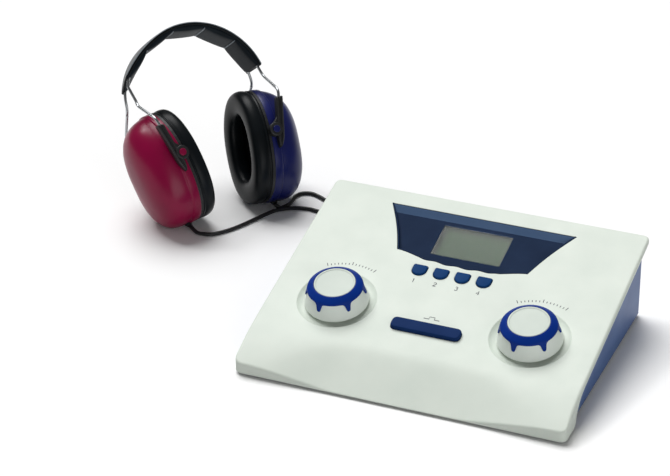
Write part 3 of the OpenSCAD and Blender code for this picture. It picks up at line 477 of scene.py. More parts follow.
def piece(obj, mat, body, slot, *stands_for):
    """Give an object its material, attach it to what it rides on and hide the nodes it stands for; slot is
    not used.
    """
    obj.data.materials.append(mats[mat])
    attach(obj, body)
    if stands_for:
        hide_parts(*stands_for)
    return obj


def hard(name, mesh, mat, body, slot, *stands_for):
    """A rigid piece, made of the points and faces of mesh."""
    return piece(add_mesh(name, *mesh, weighted=True), mat, body, slot, *stands_for)


# ---- the console's cover ----

def smoothstep(a, b, v):
    t = np.clip((v - a) / (b - a), 0, 1)
    return t * t * (3 - 2 * t)


KNOB_X, KNOB_S = 80.0, 80.8
WELL_FLAT, WELL_RUN, WELL_DEPTH = 24.5, 7.4, 3.0   # flat radius, width of the dished ring, depth
ROLL_RUN, ROLL_DROP = 38, 5.8                      # the panel's roll towards the front edge
SCOOP_HALF, SCOOP_FOOT = 58, 2.8                   # the flat incline at the front, and its foot's height
SCOOP_SLOPE, SCOOP_FLARE = 0.6745, 0.153           # its steepness, and how it fades towards the corners
SOFT_CORNER, SOFT_CREASE = 64, 6                   # squares of the lengths over which its edges are softened
CORNER, PANEL_T = 6.0, 3.05


def top_z(x, y):
    """Height of the cover's top: the sloping panel, its roll to the front edge, the wells round the knobs."""
    x, y = np.asarray(x, float), np.asarray(y, float)
    s = (y + D / 2) / CO
    rolled = panel_z(y) - ROLL_DROP * np.clip(1 - s / ROLL_RUN, 0, 1) ** 1.6
    out = np.abs(x) - SCOOP_HALF
    scoop = SCOOP_FOOT + (y + D / 2) * SCOOP_SLOPE + SCOOP_FLARE * (out + np.sqrt(out ** 2 + SOFT_CORNER)) / 2
    # the lower of the two, with a soft edge between them
    z = (rolled + scoop - np.sqrt((rolled - scoop) ** 2 + SOFT_CREASE)) / 2
    for side in SIDES:
        r = np.hypot(x - side * KNOB_X, s - KNOB_S)
        z = z - WELL_DEPTH * (1 - np.clip((r - WELL_FLAT) / WELL_RUN, 0, 1) ** 2.6) / CO
    return z


def skirt_z(y):
    """Height of the cover's lower edge: deep at the front, a short skirt at the sides and back."""
    y = np.asarray(y, float)
    low = np.interp(y, (-106, -82.5, -81, -79, -74, -69, -60), (1.9, 1.9, 4, 11.5, 17.5, 21.5, 24.8))
    return np.where(y > -60, panel_z(y) - 4.15, low)


plan = dense(box(W / 2, D / 2), [CORNER + 2, CORNER, CORNER, CORNER], 2.6)
# The top edge's radius: larger at the back, smaller at the front, and at most half the cover's height
bend = 2.4 + 5.6 * smoothstep(92, 104, plan[:, 1]) - 1.2 * smoothstep(-92, -104, plan[:, 1])
bend = np.minimum(bend, 0.5 * (top_z(plan[:, 0], plan[:, 1]) - skirt_z(plan[:, 1])))


def panel_loop(points):
    """A loop drawn on the panel, in the plan's own x and y."""
    p = np.asarray(points, float)
    return np.stack([p[:, 0], -D / 2 + p[:, 1] * CO], 1)


KEY_X, KEY_S, KEY_PITCH, KEY_R, KEY_TOP = (-29, -11, 7, 25), 130.3, 18, 5.95, 5.35
BAR_S, BAR_HALF, BAR_DEEP, BAR_R = 67.3, 28.5, 5.75, 4.6
KEY_GAP = 0.3
BEZEL_BACK, BEZEL_DEEP, BEZEL_CORNER = 201.3, 52.3, 149.2   # up the panel
BEZEL_HALF, BEZEL_TAPER = 79, 24


def bezel_outline():
    """Trapezoid with slightly hollow sides and a wavy lower edge."""
    right_side = [(BEZEL_HALF - BEZEL_TAPER * t - 1.6 * sin(pi * t), BEZEL_BACK - BEZEL_DEEP * t)
                  for t in np.linspace(0, 1, 19)]
    wave = []
    for x in np.linspace(54, -54, 91):
        bow = 141.4 + 1.8 * ((x - 4) / 30) ** 2
        end = max(0, (abs(x) - 33) / 22) ** 1.25
        scallop = 0.6 * cos(2 * pi * (x - KEY_X[1]) / KEY_PITCH) * (1 - smoothstep(30, 36, abs(x + 2)))
        wave.append((x, bow + end * (BEZEL_CORNER - bow) - scallop))
    left_side = [(-x, s) for x, s in right_side[::-1]]
    back_edge = [(x, BEZEL_BACK) for x in np.linspace(-78, 78, 53)]
    return np.array(right_side + wave + left_side + back_edge)


def key_outline(grow=0.0):
    r = KEY_R + grow
    front = [(r * cos(a), r * sin(a)) for a in np.linspace(pi, 2 * pi, 25)]
    rear = dense([(-r, 0), (r, 0), (r, KEY_TOP + grow), (-r, KEY_TOP + grow)], [0, 0, 1.6, 1.6], 1.1)
    return np.array(front + [tuple(p) for p in rear if p[1] > 0.3])


def bar_outline(grow=0.0):
    return dense(box(BAR_HALF + grow, BAR_DEEP + grow), [BAR_R + grow] * 4, 2.0)


def knob_circle(side, r, n=48):
    return np.array([(side * KNOB_X + r * cos(a), KNOB_S + r * sin(a)) for a in turn(n)])


hole_loops = [bezel_outline()]
hole_loops += [key_outline(KEY_GAP) + (x, KEY_S) for x in KEY_X]
hole_loops += [bar_outline(KEY_GAP) + (0, BAR_S)]
bushings = [knob_circle(side, 4.75) for side in SIDES]


def surface_points():
    """Points that carry the panel's form: rings in the wells, a fine grid at the front, a wide one behind."""
    out = []
    for side in SIDES:
        for r in (25.6, 27.2, 28.6, 29.6, 30.4, 31.0, 31.5, 31.9, 32.3, 33.2):
            out += list(panel_loop(knob_circle(side, r, 96)))
        for r in (12, 20):
            out += list(panel_loop(knob_circle(side, r, 40)))
    well_y = panel(0, KNOB_S)[1]
    out += [(x, y) for x in np.arange(-130, 131, 4.0) for y in np.arange(-103, -66, 1.9)]
    out += [(x, y) for x in np.arange(-130, 131, 20.0) for y in np.arange(-60, 96, 20.0)
            if min(np.hypot(x - side * KNOB_X, y - well_y) for side in SIDES) > 34]
    return out


def cover_mesh():
    verts, faces = [], []

    def put(points):
        verts.extend(points)
        return list(range(len(verts) - len(points), len(verts)))

    def strip(a, b):
        faces.extend(bridge(a, b))
        return b

    inner = inset(plan, bend)
    extra = surface_points()
    rims = [panel_loop(inset(h, -0.45)) for h in hole_loops] + [panel_loop(h) for h in bushings]
    xy, tris, loops = fill(inner, rims, extra)
    put([np.array([x, y, z]) for (x, y), z in zip(xy, top_z(xy[:, 0], xy[:, 1]))])
    faces.extend(tris)
    # the rounded edge, the wall, the lower rim and the wall's inside
    last = loops[0]
    outwards = (plan - inner) / np.linalg.norm(plan - inner, axis=1)[:, None]
    for phi in np.linspace(0, pi / 2, 7)[1:]:
        p = inner + outwards * (bend * sin(phi))[:, None]
        z = np.maximum(top_z(p[:, 0], p[:, 1]) - bend * (1 - cos(phi)), skirt_z(p[:, 1]) + 0.5)
        last = strip(last, put(list(np.column_stack([p, z]))))
    low = skirt_z(plan[:, 1])
    for d, lift in ((0, 0.35), (0.35, 0.0), (2.6, 0.0), (3.0, 0.4)):
        last = strip(last, put(list(np.column_stack([inset(plan, d), low + lift]))))
    p = inset(plan, 3.0)
    under_edge = np.maximum(top_z(p[:, 0], p[:, 1]) - 4.4 - bend * 0.4, low + 0.6)
    last = strip(last, put(list(np.column_stack([p, under_edge]))))
    # the underside, a panel's thickness below the top
    below = [panel_loop(h) + (0, 2.95 * SI) for h in hole_loops + bushings]
    xy, tris, loops_below = fill(inset(plan, 4.2), below, [e for e in extra if e[1] < -66][::3])
    k = len(verts)
    put([np.array([x, y, z - PANEL_T]) for (x, y), z in zip(xy, top_z(xy[:, 0], xy[:, 1] - 0.7))])
    faces.extend(tuple(i + k for i in t[::-1]) for t in tris)
    strip(last, [i + k for i in loops_below[0]])
    # the holes' rounded rims and walls
    for j, loop in enumerate(hole_loops + bushings):
        last = loops[j + 1]
        in_well = j >= len(hole_loops)
        for d, h in ((0.0, -0.3 - WELL_DEPTH),) if in_well else ((0.13, -0.13), (0.0, -0.45)):
            last = strip(last, put([panel(x, s, h) for x, s in inset(loop, -d)]))
        strip(last, [i + k for i in loops_below[j + 1]])
    return verts, faces


def post(place, r, bore, foot, top):
    """A hollow screw boss."""
    return lathe([(bore, foot), (r, foot), (r, top), (bore, top)], place)


def bosses():
    out = []
    for x in (-118, 118):
        for y in (-86, 86):
            top = float(top_z(x, y)) - 2.0
            out.append(post(lambda a, b, h: np.array([x + a, y + b, h]), 4, 1.5, 5.6, top))
    for x in (-106, 106):
        for s in (47.3, 198.3):
            out.append(post(lambda a, b, h: panel(x + a, s + b, h), 3.2, 1.25, -12, -2))
    return out


hard("cover", cover_mesh(), "cover", "console", "cover", "top_cover")
hard("cover_bosses", join(*bosses()), "cover", "console", "cover")

# ---- display bezel, keys and tone bar ----

TRAY_FLOOR, TRAY_BACK = -3.4, 194.2   # the sunk floor's height, and where it ends up the panel


def bezel_mesh():
    """A sunk tray: narrow rim, steep sides, a sloping strip at the back, a flat floor with an opening."""
    outline = inset(bezel_outline(), 0.18)
    window = dense(box(WINDOW_X, WINDOW_Y, (0, WINDOW_S)), [1.0] * 4, 4.0)
    foot = inset(outline, 1.9)
    foot[:, 1] = np.minimum(foot[:, 1], TRAY_BACK)
    rings = [[panel(x, s, h) for x, s in inset(outline, d)]
             for d, h in ((0, BEZEL_FOOT), (0, -0.5), (0.12, -0.12), (0.45, 0.02), (1.0, 0.02), (1.3, -0.1))]
    lip = inset(outline, 1.3)
    rings += [[panel(x, s, h) for x, s in lip + (foot - lip) * t]
              for t, h in ((0.12, -0.55), (0.86, -3.1), (0.95, -3.32), (1.0, TRAY_FLOOR))]
    verts, faces = loft(rings, caps=(False, False))

    def sheet(outer, hole, h):
        xy, tris, loops = fill(outer, [hole])
        k = len(verts)
        verts.extend(panel(x, s, h) for x, s in xy)
        faces.extend(tuple(i + k for i in t) for t in tris)
        return [[k + i for i in loop] for loop in loops]

    n = len(outline)
    floor_edge, last = sheet(foot, window, TRAY_FLOOR)
    faces += bridge(range((len(rings) - 1) * n, len(rings) * n), floor_edge)
    for d, h in ((0.25, -3.5), (0.3, -3.8), (0.3, BEZEL_FOOT)):
        k = len(verts)
        verts += [panel(x, s, h) for x, s in inset(window, d)]
        faces += bridge(last, range(k, len(verts)))
        last = range(k, len(verts))
    sheet(outline, inset(window, 0.3), BEZEL_FOOT)
    return verts, faces


def cap_mesh(outline, middle, rise, crown, edge=0.9, foot=-3.35, flange=1.2):
    """A key: a flange below, an upright wall, a rounded edge and a soft swell to the middle."""
    rings = [(foot - 1.25, -flange), (foot, -flange), (foot, 0), (rise - edge, 0)]
    rings += [(rise - edge + edge * sin(phi), edge * (1 - cos(phi)))
              for phi in np.linspace(0, pi / 2, 6)[1:]]
    out = [[(x, s, h) for x, s in inset(outline, d)] for h, d in rings]
    last = inset(outline, edge)
    for t in (0.12, 0.3, 0.5, 0.7, 0.88, 0.98):
        swell_up = rise + crown * sin(t * pi / 2)
        out.append([(x, s, swell_up) for x, s in last + (outline.mean(0) - last) * t])
    return loft([[panel(middle[0] + x, middle[1] + s, h) for x, s, h in ring] for ring in out])


for k, x in enumerate(KEY_X, 1):
    cap = cap_mesh(key_outline(), (x, KEY_S), 1.5, 0.45)
    hard(f"key_cap_{k}", cap, "keys", f"key_{k}", "keys", f"function_key_{k}")
cap = cap_mesh(bar_outline(), (0, BAR_S), 3.1, 0.25, 1.1, flange=1.4)
hard("tone_bar_cap", cap, "bar", "tone_bar", "bar", "tone_bar")
tray = hard("bezel_tray", bezel_mesh(), "bezel", "console", "bezel", "display_bezel")
# the strip along the back catches the light, so it is a lighter tone
tray.data.materials.append(mats["bezel_strip"])
for poly in tray.data.polygons:
    tilt = poly.normal.y * CO + poly.normal.z * SI
    if -0.75 < tilt < -0.3 and abs(poly.normal.x) < 0.3 and poly.center.y > panel(0, 190)[1] * MM:
        poly.material_index = 1

# ---- knobs ----

KNOB_R, KNOB_TAPER, KNOB_H = 25.5, 4.5, 14.0
# How far a finger's edge is from its middle, and how low the crown reaches there
FINGER_AWAY = (0, 0.7, 1.2, 1.6, 2.0, 2.5, 3.1, 3.9, 5.0, 6.6, 30)
FINGER_LOW = (6.3, 6.42, 6.85, 7.8, 9.6, 11.2, 12.2, 12.8, 13.1, 13.2, 13.2)
FINGER_R = 23.5
FINGER_TURN = 17


def flank(h):
    return KNOB_R - h * KNOB_TAPER / KNOB_H


def crown_mesh(place, n=360):
    """The blue crown: a ring round the disc with six fingers that run down the knob's flank."""
    angles = turn(n)
    fingers = np.radians(np.arange(FINGER_TURN, 360, 60))
    away = np.min(np.abs((angles[:, None] - fingers[None, :] + pi) % (2 * pi) - pi), axis=1)
    low = np.interp(away * FINGER_R, FINGER_AWAY, FINGER_LOW)
    top = ((16.62, 14.0), (16.62, 17.7), (16.9, 17.95), (17.4, 17.85), (18.4, 17.2), (20.2, 15.95),
           (21.6, 14.95), (22.15, 14.3))
    rows = [(np.full(n, r), np.full(n, h)) for r, h in top]
    for t in (0.04, 0.12, 0.25, 0.4, 0.55, 0.7, 0.85, 0.95, 1.0):
        h = 13.9 + (low - 13.9) * t
        proud = 1.25 if t < 0.9 else (1.1 if t < 0.97 else 0.8)
        rows.append((flank(h) + proud, h))
    for h in (low - 0.05, np.full(n, 13.7)):
        rows.append((flank(h) + 0.06, h))
    rings = [[place(q * cos(a), q * sin(a), z) for a, q, z in zip(angles, r, h)] for r, h in rows]
    return loft(rings, closed=True)


body_profile = [(3.02, 5), (8, 5), (8, 3.4), (21.6, 3.4), (22.6, -1.1), (23.2, -1.2), (24.7, -1.2),
                (25.2, -1.05), (25.6, -0.5), (25.65, 0.2)]
body_profile += [(flank(h) + 0.25 * exp(-h / 1.2), h) for h in (0.8, 1.6, 3, 5, 8, 11, 13, 13.6)]
body_profile += [(20.8, KNOB_H), (20, KNOB_H), (3.02, KNOB_H)]
disc_profile = [(0.001, 14.02), (16.3, 14.02), (16.5, 14.2), (16.5, 17.5), (16.36, 17.86), (16.05, 18.0),
                (15.3, 18.0), (15.0, 17.86), (14.8, 17.62), (14.4, 17.5), (12, 17.46), (6, 17.42),
                (0.001, 17.4)]
for side, name in ((-1, "level"), (1, "frequency")):
    def place(x, y, h, side=side):
        return panel(side * KNOB_X + x, KNOB_S + y, h)
    body = name + "_knob"
    hard(name + "_skirt", lathe(body_profile, place, 128, closed=True), "knob", body, "knob", body + "_body")
    hard(name + "_crown", crown_mesh(place), "crown", body, "crown", body + "_crown")
    hard(name + "_cap", lathe(disc_profile, place, 128), "disc", body, "disc", body + "_disc")

# ---- plain marks on the panel ----

INK_W, INK_UP, INK_T = 0.6, 0.05, 0.04
DIGIT_S, DIGIT_LEFT, DIGIT_SIZE = 117.8, 0.4, 1.2
TICK_R, TICK_MIDDLE = 40.6, 94


def strokes(lines):
    """Thin strokes of ink that lie on the panel, each with a thin edge so that it isn't an open sheet."""
    verts, faces = [], []
    for line in lines:
        p = [np.asarray(q, float) for q in line]
        m, k = len(p), len(verts)
        for i, q in enumerate(p):
            along = towards(p[max(i - 1, 0)], p[min(i + 1, m - 1)])
            across = np.array([-along[1], along[0]]) * INK_W / 2
            verts += [panel(*(q + across), INK_UP), panel(*(q - across), INK_UP)]
        faces += [(k + 2 * i, k + 2 * i + 1, k + 2 * i + 3, k + 2 * i + 2) for i in range(m - 1)]
        below = len(verts) - k
        verts += [v - INK_T * (panel(0, 0, 1) - panel(0, 0, 0)) for v in verts[k:]]
        rim = [k + 2 * i for i in range(m)] + [k + 2 * i + 1 for i in range(m - 1, -1, -1)]
        faces += bridge(rim, [i + below for i in rim])
    return verts, faces


def polar(x, y, r, degrees):
    return x + r * cos(radians(degrees)), y + r * sin(radians(degrees))


def arc(x, y, r, start, end, n):
    return [polar(x, y, r, a) for a in np.linspace(start, end, n)]


# The numbers 1 to 4 as lines, about their middles
DIGITS = [
    [[(-0.7, 1.1), (0, 1.7), (0, -1.7)]],
    [arc(0, 0.8, 0.95, 165, -35, 9) + [(-1, -1.7)], [(-1.05, -1.65), (1.05, -1.65)]],
    [arc(0, 0.85, 0.85, 150, -80, 9), arc(0, -0.8, 0.95, 85, -150, 10)],
    [[(0.45, -1.7), (0.45, 1.7), (-1.05, -0.7), (1.05, -0.7)]],
]
ink = []
for middle, digit in zip(KEY_X, DIGITS):
    left = middle - DIGIT_LEFT
    ink += [[(left + DIGIT_SIZE * x, DIGIT_S + DIGIT_SIZE * y) for x, y in line] for line in digit]
for side in SIDES:
    for a in range(66, 123, 4):
        tick = 3.4 if (a - TICK_MIDDLE) % 14 == 0 else 1.9
        ink.append([polar(side * KNOB_X, KNOB_S, r, a) for r in (TICK_R, TICK_R + tick)])
# a pulse over the tone bar
ink.append([(-6.5, 79.5), (-2.2, 79.5), (-2.2, 82), (2.2, 82), (2.2, 79.5), (6.5, 79.5)])
piece(add_mesh("panel_marks", *strokes(ink), smooth=False), "ink", "console", "bezel")

# ---- ear cups ----

CUP_HALF_W, CUP_HALF_H, CUP_DROP = 36, 50, 6   # half sizes, and how far the middle is below the pivot
RIM, RIM_TOP = -3.0, 4.75
DOME, DOME_DEPTH, DOME_LESS = 27.8, 29.0, 6.0
HOLE_HALF_W, HOLE_HALF_H, HOLE_SIDES = 18, 28.5, 0.05   # the ear opening, and how little it narrows


def egg(half_w, half_h, narrowing=0.14, n=96):
    """Outline of a cup: a rounded oval that is narrower towards its top."""
    out = []
    for a in turn(n):
        c, s = cos(a), sin(a)
        y = copysign(abs(s) ** 0.87, s)
        x = copysign(abs(c) ** 0.87, c) * (1 - narrowing * max(0.0, y) ** 2)
        out.append((x * half_w, y * half_h - CUP_DROP))
    return np.array(out)


def cup_loft(side, rings, closed=False):
    """A skin over rings of (out, outline) pairs in the cup's frame; out is a number or one for each point."""
    placed = []
    for out, outline in rings:
        depth = np.broadcast_to(out, len(outline))
        placed.append([cup(side, (x, *p)) for x, p in zip(depth, outline)])
    return loft(placed, closed=closed)


def shell_mesh(side, n=120):
    """Rim band with a crease, then a full dome that is boxier at its top."""
    rim = egg(CUP_HALF_W, CUP_HALF_H, n=n)
    high = np.clip(np.sin(turn(n)), 0, 1) ** 2
    box_power = 2.35 + 1.5 * high
    depth = DOME_DEPTH - DOME_LESS * high
    rings = [(x, inset(rim, d)) for d, x in (
        (2.6, -0.6), (2.4, RIM), (0.5, RIM), (0.12, -2.7), (0.0, -2.2), (0.0, 3.2), (0.12, 3.8), (0.5, 4.25),
        (0.95, 4.4), (1.15, RIM_TOP))]
    base = inset(rim, 1.15)
    for u in (0.03, 0.08, 0.15, 0.24, 0.34, 0.45, 0.56, 0.67, 0.77, 0.86, 0.93, 0.975, 0.995):
        s = (1 - u ** box_power) ** (1 / box_power)
        centre = np.array([0.0, -CUP_DROP - 8 * u ** 1.3])
        x = RIM_TOP + DOME * u * (depth / DOME_DEPTH * (1 - u) + u)
        rings.append((x, centre + (base - (0, -CUP_DROP)) * s[:, None]))
    return cup_loft(side, rings)


# A cushion's section: way from its outer side to its hole, and distance outwards from the cup's middle
CUSHION = ((0.02, -5.6), (-0.015, -6.2), (0.005, -7.3), (0.035, -8), (0, -8.8), (-0.02, -10.6), (-0.02, -13),
           (0, -15.3), (0.06, -17.5), (0.16, -19.1), (0.3, -19.9), (0.48, -20.1), (0.66, -19.9), (0.8, -19.3),
           (0.9, -18.2), (0.965, -16.6), (0.995, -14.5), (1, -12), (1, -9.5), (0.99, -7.2), (0.97, -6),
           (0.8, -5.6), (0.4, -5.6))
CUSHION_HELD = (0, 3, 18, 20, 21, 22)   # the section's points that are sewn down
CUSHION_N = 144


def cushion_mesh(side):
    """A soft ring on the plate: seam near its back, full sides, crowned front, sloping inner side."""
    outer = egg(CUP_HALF_W - 0.4, CUP_HALF_H - 0.4, n=CUSHION_N)
    hole = egg(HOLE_HALF_W, HOLE_HALF_H, HOLE_SIDES, CUSHION_N)
    return cup_loft(side, [(x, outer + (hole - outer) * q) for q, x in CUSHION], closed=True)


def foam_mesh(side):
    """The cloth behind the ear opening."""
    cloth = egg(HOLE_HALF_W + 0.6, HOLE_HALF_H + 0.6, HOLE_SIDES)
    section = ((0, -5.6), (0.02, -6.4), (0.08, -7.1), (0.25, -7.6), (0.5, -7.9), (0.75, -8.1), (0.97, -8.15))
    return cup_loft(side, [(x, cloth + ((0, -CUP_DROP) - cloth) * t) for t, x in section])


def swell(obj, held, pressure, most, frames=20, stiff=18):
    """Blow a soft piece up a little with its seams held, and keep the result as its mesh."""
    mesh = obj.data
    obj.vertex_groups.new(name="held").add(held, 1.0, "REPLACE")
    before = np.array([tuple(v.co) for v in mesh.vertices])
    mod = obj.modifiers.new("cloth", "CLOTH")
    s = mod.settings
    s.use_pressure, s.uniform_pressure_force = True, pressure
    s.tension_stiffness = s.compression_stiffness = s.shear_stiffness = stiff
    s.bending_stiffness = 0.6
    s.vertex_group_mass = "held"
    s.effector_weights.gravity = 0
    s.quality = 6
    scene = bpy.context.scene
    mod.point_cache.frame_start, mod.point_cache.frame_end = 1, frames
    for f in range(1, frames + 1):
        scene.frame_set(f)
    done = obj.evaluated_get(bpy.context.evaluated_depsgraph_get())
    move = np.array([tuple(v.co) for v in done.data.vertices]) - before
    size = np.linalg.norm(move, axis=1)
    move *= (np.minimum(size, most * MM) / np.maximum(size, 1e-9))[:, None]
    obj.modifiers.remove(mod)
    obj.vertex_groups.clear()
    mesh.vertices.foreach_set("co", (before + move).ravel())
    mesh.update()
    scene.frame_set(1)
    print(obj.name, "swelled by up to", round(float(size.max()) * 1000, 2), "mm")


def subdivide(obj, levels=1):
    mod = obj.modifiers.new("soft", "SUBSURF")
    mod.levels = mod.render_levels = levels


# ---- guides on the wires' ends ----

GUIDE_Y, WIRE_Y = 36.4, 39.4     # the guide's inner face and the wire's middle, to the front or the rear
WIRE_X, WIRE_Z, WIRE_SLANT = 57, 27, tan(radians(15))


def channel_x(z):
    return WIRE_X + (z - WIRE_Z) * WIRE_SLANT


def prism(side, points, y0, y1, bevel, end):
    """A flat part of the guide, its edges rounded; points are x and z in the headset's frame."""
    loop = np.array(points)
    steps = ((1, 0), (0.3, 0.3), (0, 1))
    rows = [(bevel * d, y0 + bevel * up) for d, up in steps]
    rows += [(bevel * d, y1 - bevel * up) for d, up in steps[::-1]]
    return loft([[hs((side * x, end * y, z)) for x, z in inset(loop, d)] for d, y in rows])


def guide_mesh(side, end):
    """Two ribs with a groove between them, down to a point, a web to the pivot and a boss on it."""
    half = [(0.12, 4.6), (0.22, 4.9), (0.36, 5.7), (0.62, 6.0), (0.9, 5.5), (1, 4.7), (1, 0)]
    section = [(-a, b) for a, b in half[::-1]] + half
    # height, half width and thickness
    rows = [(27.4, 2.3, 0.7), (27.0, 2.9, 0.9), (26.2, 3.15, 1)] + [(z, 3.1, 1) for z in (20, 14, 8, 2, -4)]
    rows += [(-8, 2.9, 0.99), (-11, 2.35, 0.95), (-13.5, 1.6, 0.85), (-15.3, 0.9, 0.7), (-16, 0.4, 0.55)]
    ribs = loft([[hs((side * (channel_x(z) + w * a), end * (GUIDE_Y + b * t), z)) for a, b in section]
                 for z, w, t in rows])
    corners = [(PIVOT_X, 6.2), (channel_x(13) - 1, 13), (channel_x(-9) + 1, -9), (PIVOT_X, -6.2)]
    web = prism(side, dense(corners, [2.5, 0.5, 0.5, 2.5], 1.5), GUIDE_Y + 0.3, GUIDE_Y + 4.4, 0.5, end)
    boss = [(0.01, 0), (5.4, 0), (6, 0.5), (6, 5.4), (5.8, 5.8), (5.3, 6), (3.4, 6), (3.25, 5.7), (0.01, 5.7)]
    return join(ribs, web, on_pivot(side, end, [(r, GUIDE_Y + y) for r, y in boss], 48))


def on_pivot(side, end, profile, n):
    return lathe(profile, lambda x, z, y: hs((side * PIVOT_X + x, end * y, z)), n)


def pivot_discs(side):
    profile = [(0.01, 42.0), (3.2, 42.0), (3.2, 42.9), (3.0, 43.15), (2.6, 43.2), (0.01, 43.25)]
    return join(*(on_pivot(side, end, profile, 40) for end in (-1, 1)))


def gland_mesh(side):
    """Tapered, ribbed strain relief at the cord's exit."""
    profile = [(0.01, -1.5), (3.4, -1.5), (3.4, 3.9), (3.2, 4.3), (2.75, 4.4)]
    for k in range(4):
        h, less = 4.5 + 0.5 * k, 0.1 * k
        profile += [(2.7 - less, h), (2.7 - less, h + 0.25), (2.4 - less, h + 0.3), (2.4 - less, h + 0.45)]
    profile += [(2.1, GLAND_TIP), (1.75, GLAND_TIP), (0.01, GLAND_TIP - 0.1)]

    def place(x, y, h):
        return cup(side, GLAND_AT + x * np.array([1.0, 0, 0]) + y * GLAND_ACROSS + h * GLAND_WAY)
    return lathe(profile, place, 32)


ENDS = ((-1, "front"), (1, "rear"))
for side, who in SIDES.items():
    tone = "red" if side < 0 else "navy"
    cup_body, yoke, cup_slot = who + "_cup", who + "_yoke", who + "_cup"
    piece(add_mesh(who + "_dome", *shell_mesh(side)), tone, cup_body, cup_slot, who + "_shell")
    cushion = add_mesh(who + "_ear_pad", *cushion_mesh(side))
    swell(cushion, [r * CUSHION_N + k for r in CUSHION_HELD for k in range(CUSHION_N)], 2.5, most=1.2)
    subdivide(cushion)
    piece(cushion, "vinyl", cup_body, "cushion", who + "_cushion")
    piece(add_mesh(who + "_ear_foam", *foam_mesh(side)), "foam", cup_body, "grille")
    for end, where in ENDS:
        slider, guide = f"{who}_{where}_slider", f"{who}_{where}_guide"
        hard(slider, guide_mesh(side, end), "black", yoke, "black_plastic", guide)
    hard(who + "_pivot_discs", pivot_discs(side), tone, yoke, cup_slot, who + "_pivot_caps")
    hard(who + "_relief", gland_mesh(side), "rubber", cup_body, "black_plastic", who + "_gland")

# ---- headband ----

BAND_R, BAND_UP = 63.7, 49.3
SEAMS = np.radians([12, 41, 69.5, 98.5, 129.5, 161.5])
LENGTHS = len(SEAMS) - 1
TWIST_FROM, TWIST_RUN, TWIST_OUT, TWIST_BACK = 1.92, 0.9, 6.5, 0.12


def lean(rad, a, w):
    """A point of the band, which twists a little towards its left end: its front edge stands out there."""
    t = min(max((a - TWIST_FROM) / TWIST_RUN, 0.0), 1.0) ** 2 * (0.5 - w / 30)
    rad, a = rad + TWIST_OUT * t, a - TWIST_BACK * t
    return hs((rad * cos(a), w, BAND_UP + rad * sin(a)))


# The padding's section: half width and thickness, from the top middle round to the bottom middle
PAD = [(0, 1), (0.35, 1), (0.7, 0.985), (0.88, 0.93), (0.965, 0.75), (1.0, 0.4), (1.0, 0.0), (0.985, -0.4),
       (0.94, -0.72), (0.82, -0.9), (0.66, -0.96), (0.48, -0.99), (0.24, -1.0), (0, -1.0)]
PAD += [(-w, r) for w, r in PAD[-2:0:-1]]
PAD_OUTER, PAD_HALF_W, SEAM_R, END_R = 62.4, 14.9, 58.3, 58.9
PAD_TOP = (0, 1, 2, 3, -1, -2, -3)   # the section's points that lie against the strip


def pad_mesh():
    """The padding under the band: five stuffed lengths between the seams, flat chords on the inside."""
    ways = np.array([0, 0.03, 0.08, 0.16, 0.27, 0.38, 0.5, 0.62, 0.73, 0.84, 0.92, 0.97])
    places = [(k, t) for k in range(LENGTHS) for t in ways] + [(LENGTHS - 1, 1.0)]
    rows, held, n = [], [], len(PAD)
    for j, (k, t) in enumerate(places):
        a0, a1 = SEAMS[k], SEAMS[k + 1]
        a = a0 + (a1 - a0) * t
        full = (4 * t * (1 - t)) ** 0.35 if 0 < t < 1 else 0.0
        r0, r1 = (END_R if i in (0, LENGTHS) else SEAM_R for i in (k, k + 1))
        chord = (r0 + (r1 - r0) * t) * cos((a1 - a0) / 2) / cos(a - (a0 + a1) / 2)
        inner = chord + 0.7 * (1 - full) - 0.5 * full
        half = PAD_HALF_W - 0.6 * (1 - full)
        end = 0.8 if j in (0, len(places) - 1) else 1.0
        centre, thick = (inner + PAD_OUTER) / 2, (PAD_OUTER - inner) / 2
        rows.append([lean(centre + thick * r * end, a, half * w * end) for w, r in PAD])
        held += [j * n + q % n for q in (range(n) if t in (0, 1) else PAD_TOP)]
    return loft(rows), held


def arc_strip(section, a0, a1, n=90):
    return loft([[lean(r, a, w) for w, r in section] for a in np.radians(np.linspace(a0, a1, n))])


def welts(w_edge=15.5, w_rib=13.6):
    """A thin welt along each edge of the strip, and a flat rib over each seam of the padding."""
    parts = []
    for w in (-w_edge, w_edge):
        parts.append(arc_strip([(w + 0.42 * cos(a), 63.05 + 0.42 * sin(a)) for a in turn(8)], 12, 161.5))
    for a in SEAMS[1:-1]:
        line = [lean(58.5 + 0.6 * abs(w / w_rib) ** 6, a, w) for w in np.linspace(-w_rib, w_rib, 15)]
        parts.append(tube(line, lambda t: 0.62 * (1 - abs(2 * t - 1) ** 6 * 0.5), 8))
    return join(*parts)


mesh, held = pad_mesh()
band = add_mesh("band_padding", *mesh)
swell(band, held, 2.0, most=0.8)
subdivide(band, 2)
piece(band, "vinyl_in", "headset", "pad", "headband_pad")
# the outer strip, its edges turned over the padding
strip = [(-15.3, 60.6), (-15.55, 61.6), (-15.4, 62.5), (-14.6, 63.2), (-11, 63.55), (-5, 63.7)]
strip += [(0, 63.72)] + [(-w, r) for w, r in strip[::-1]]
strip += [(14.9, 60.6), (14.9, 61.6), (14.2, 62.3), (5, 62.5), (-5, 62.5), (-14.2, 62.3), (-14.9, 61.6),
          (-14.9, 60.6)]
piece(add_mesh("band_cover", *arc_strip(strip, 11.4, 162.1)), "vinyl", "headset", "pad")
# the welts' light grey is a painted highlight along the strip's edges; the seam ribs share that tone
piece(add_mesh("band_welts", *welts()), "welt", "headset", "pad")


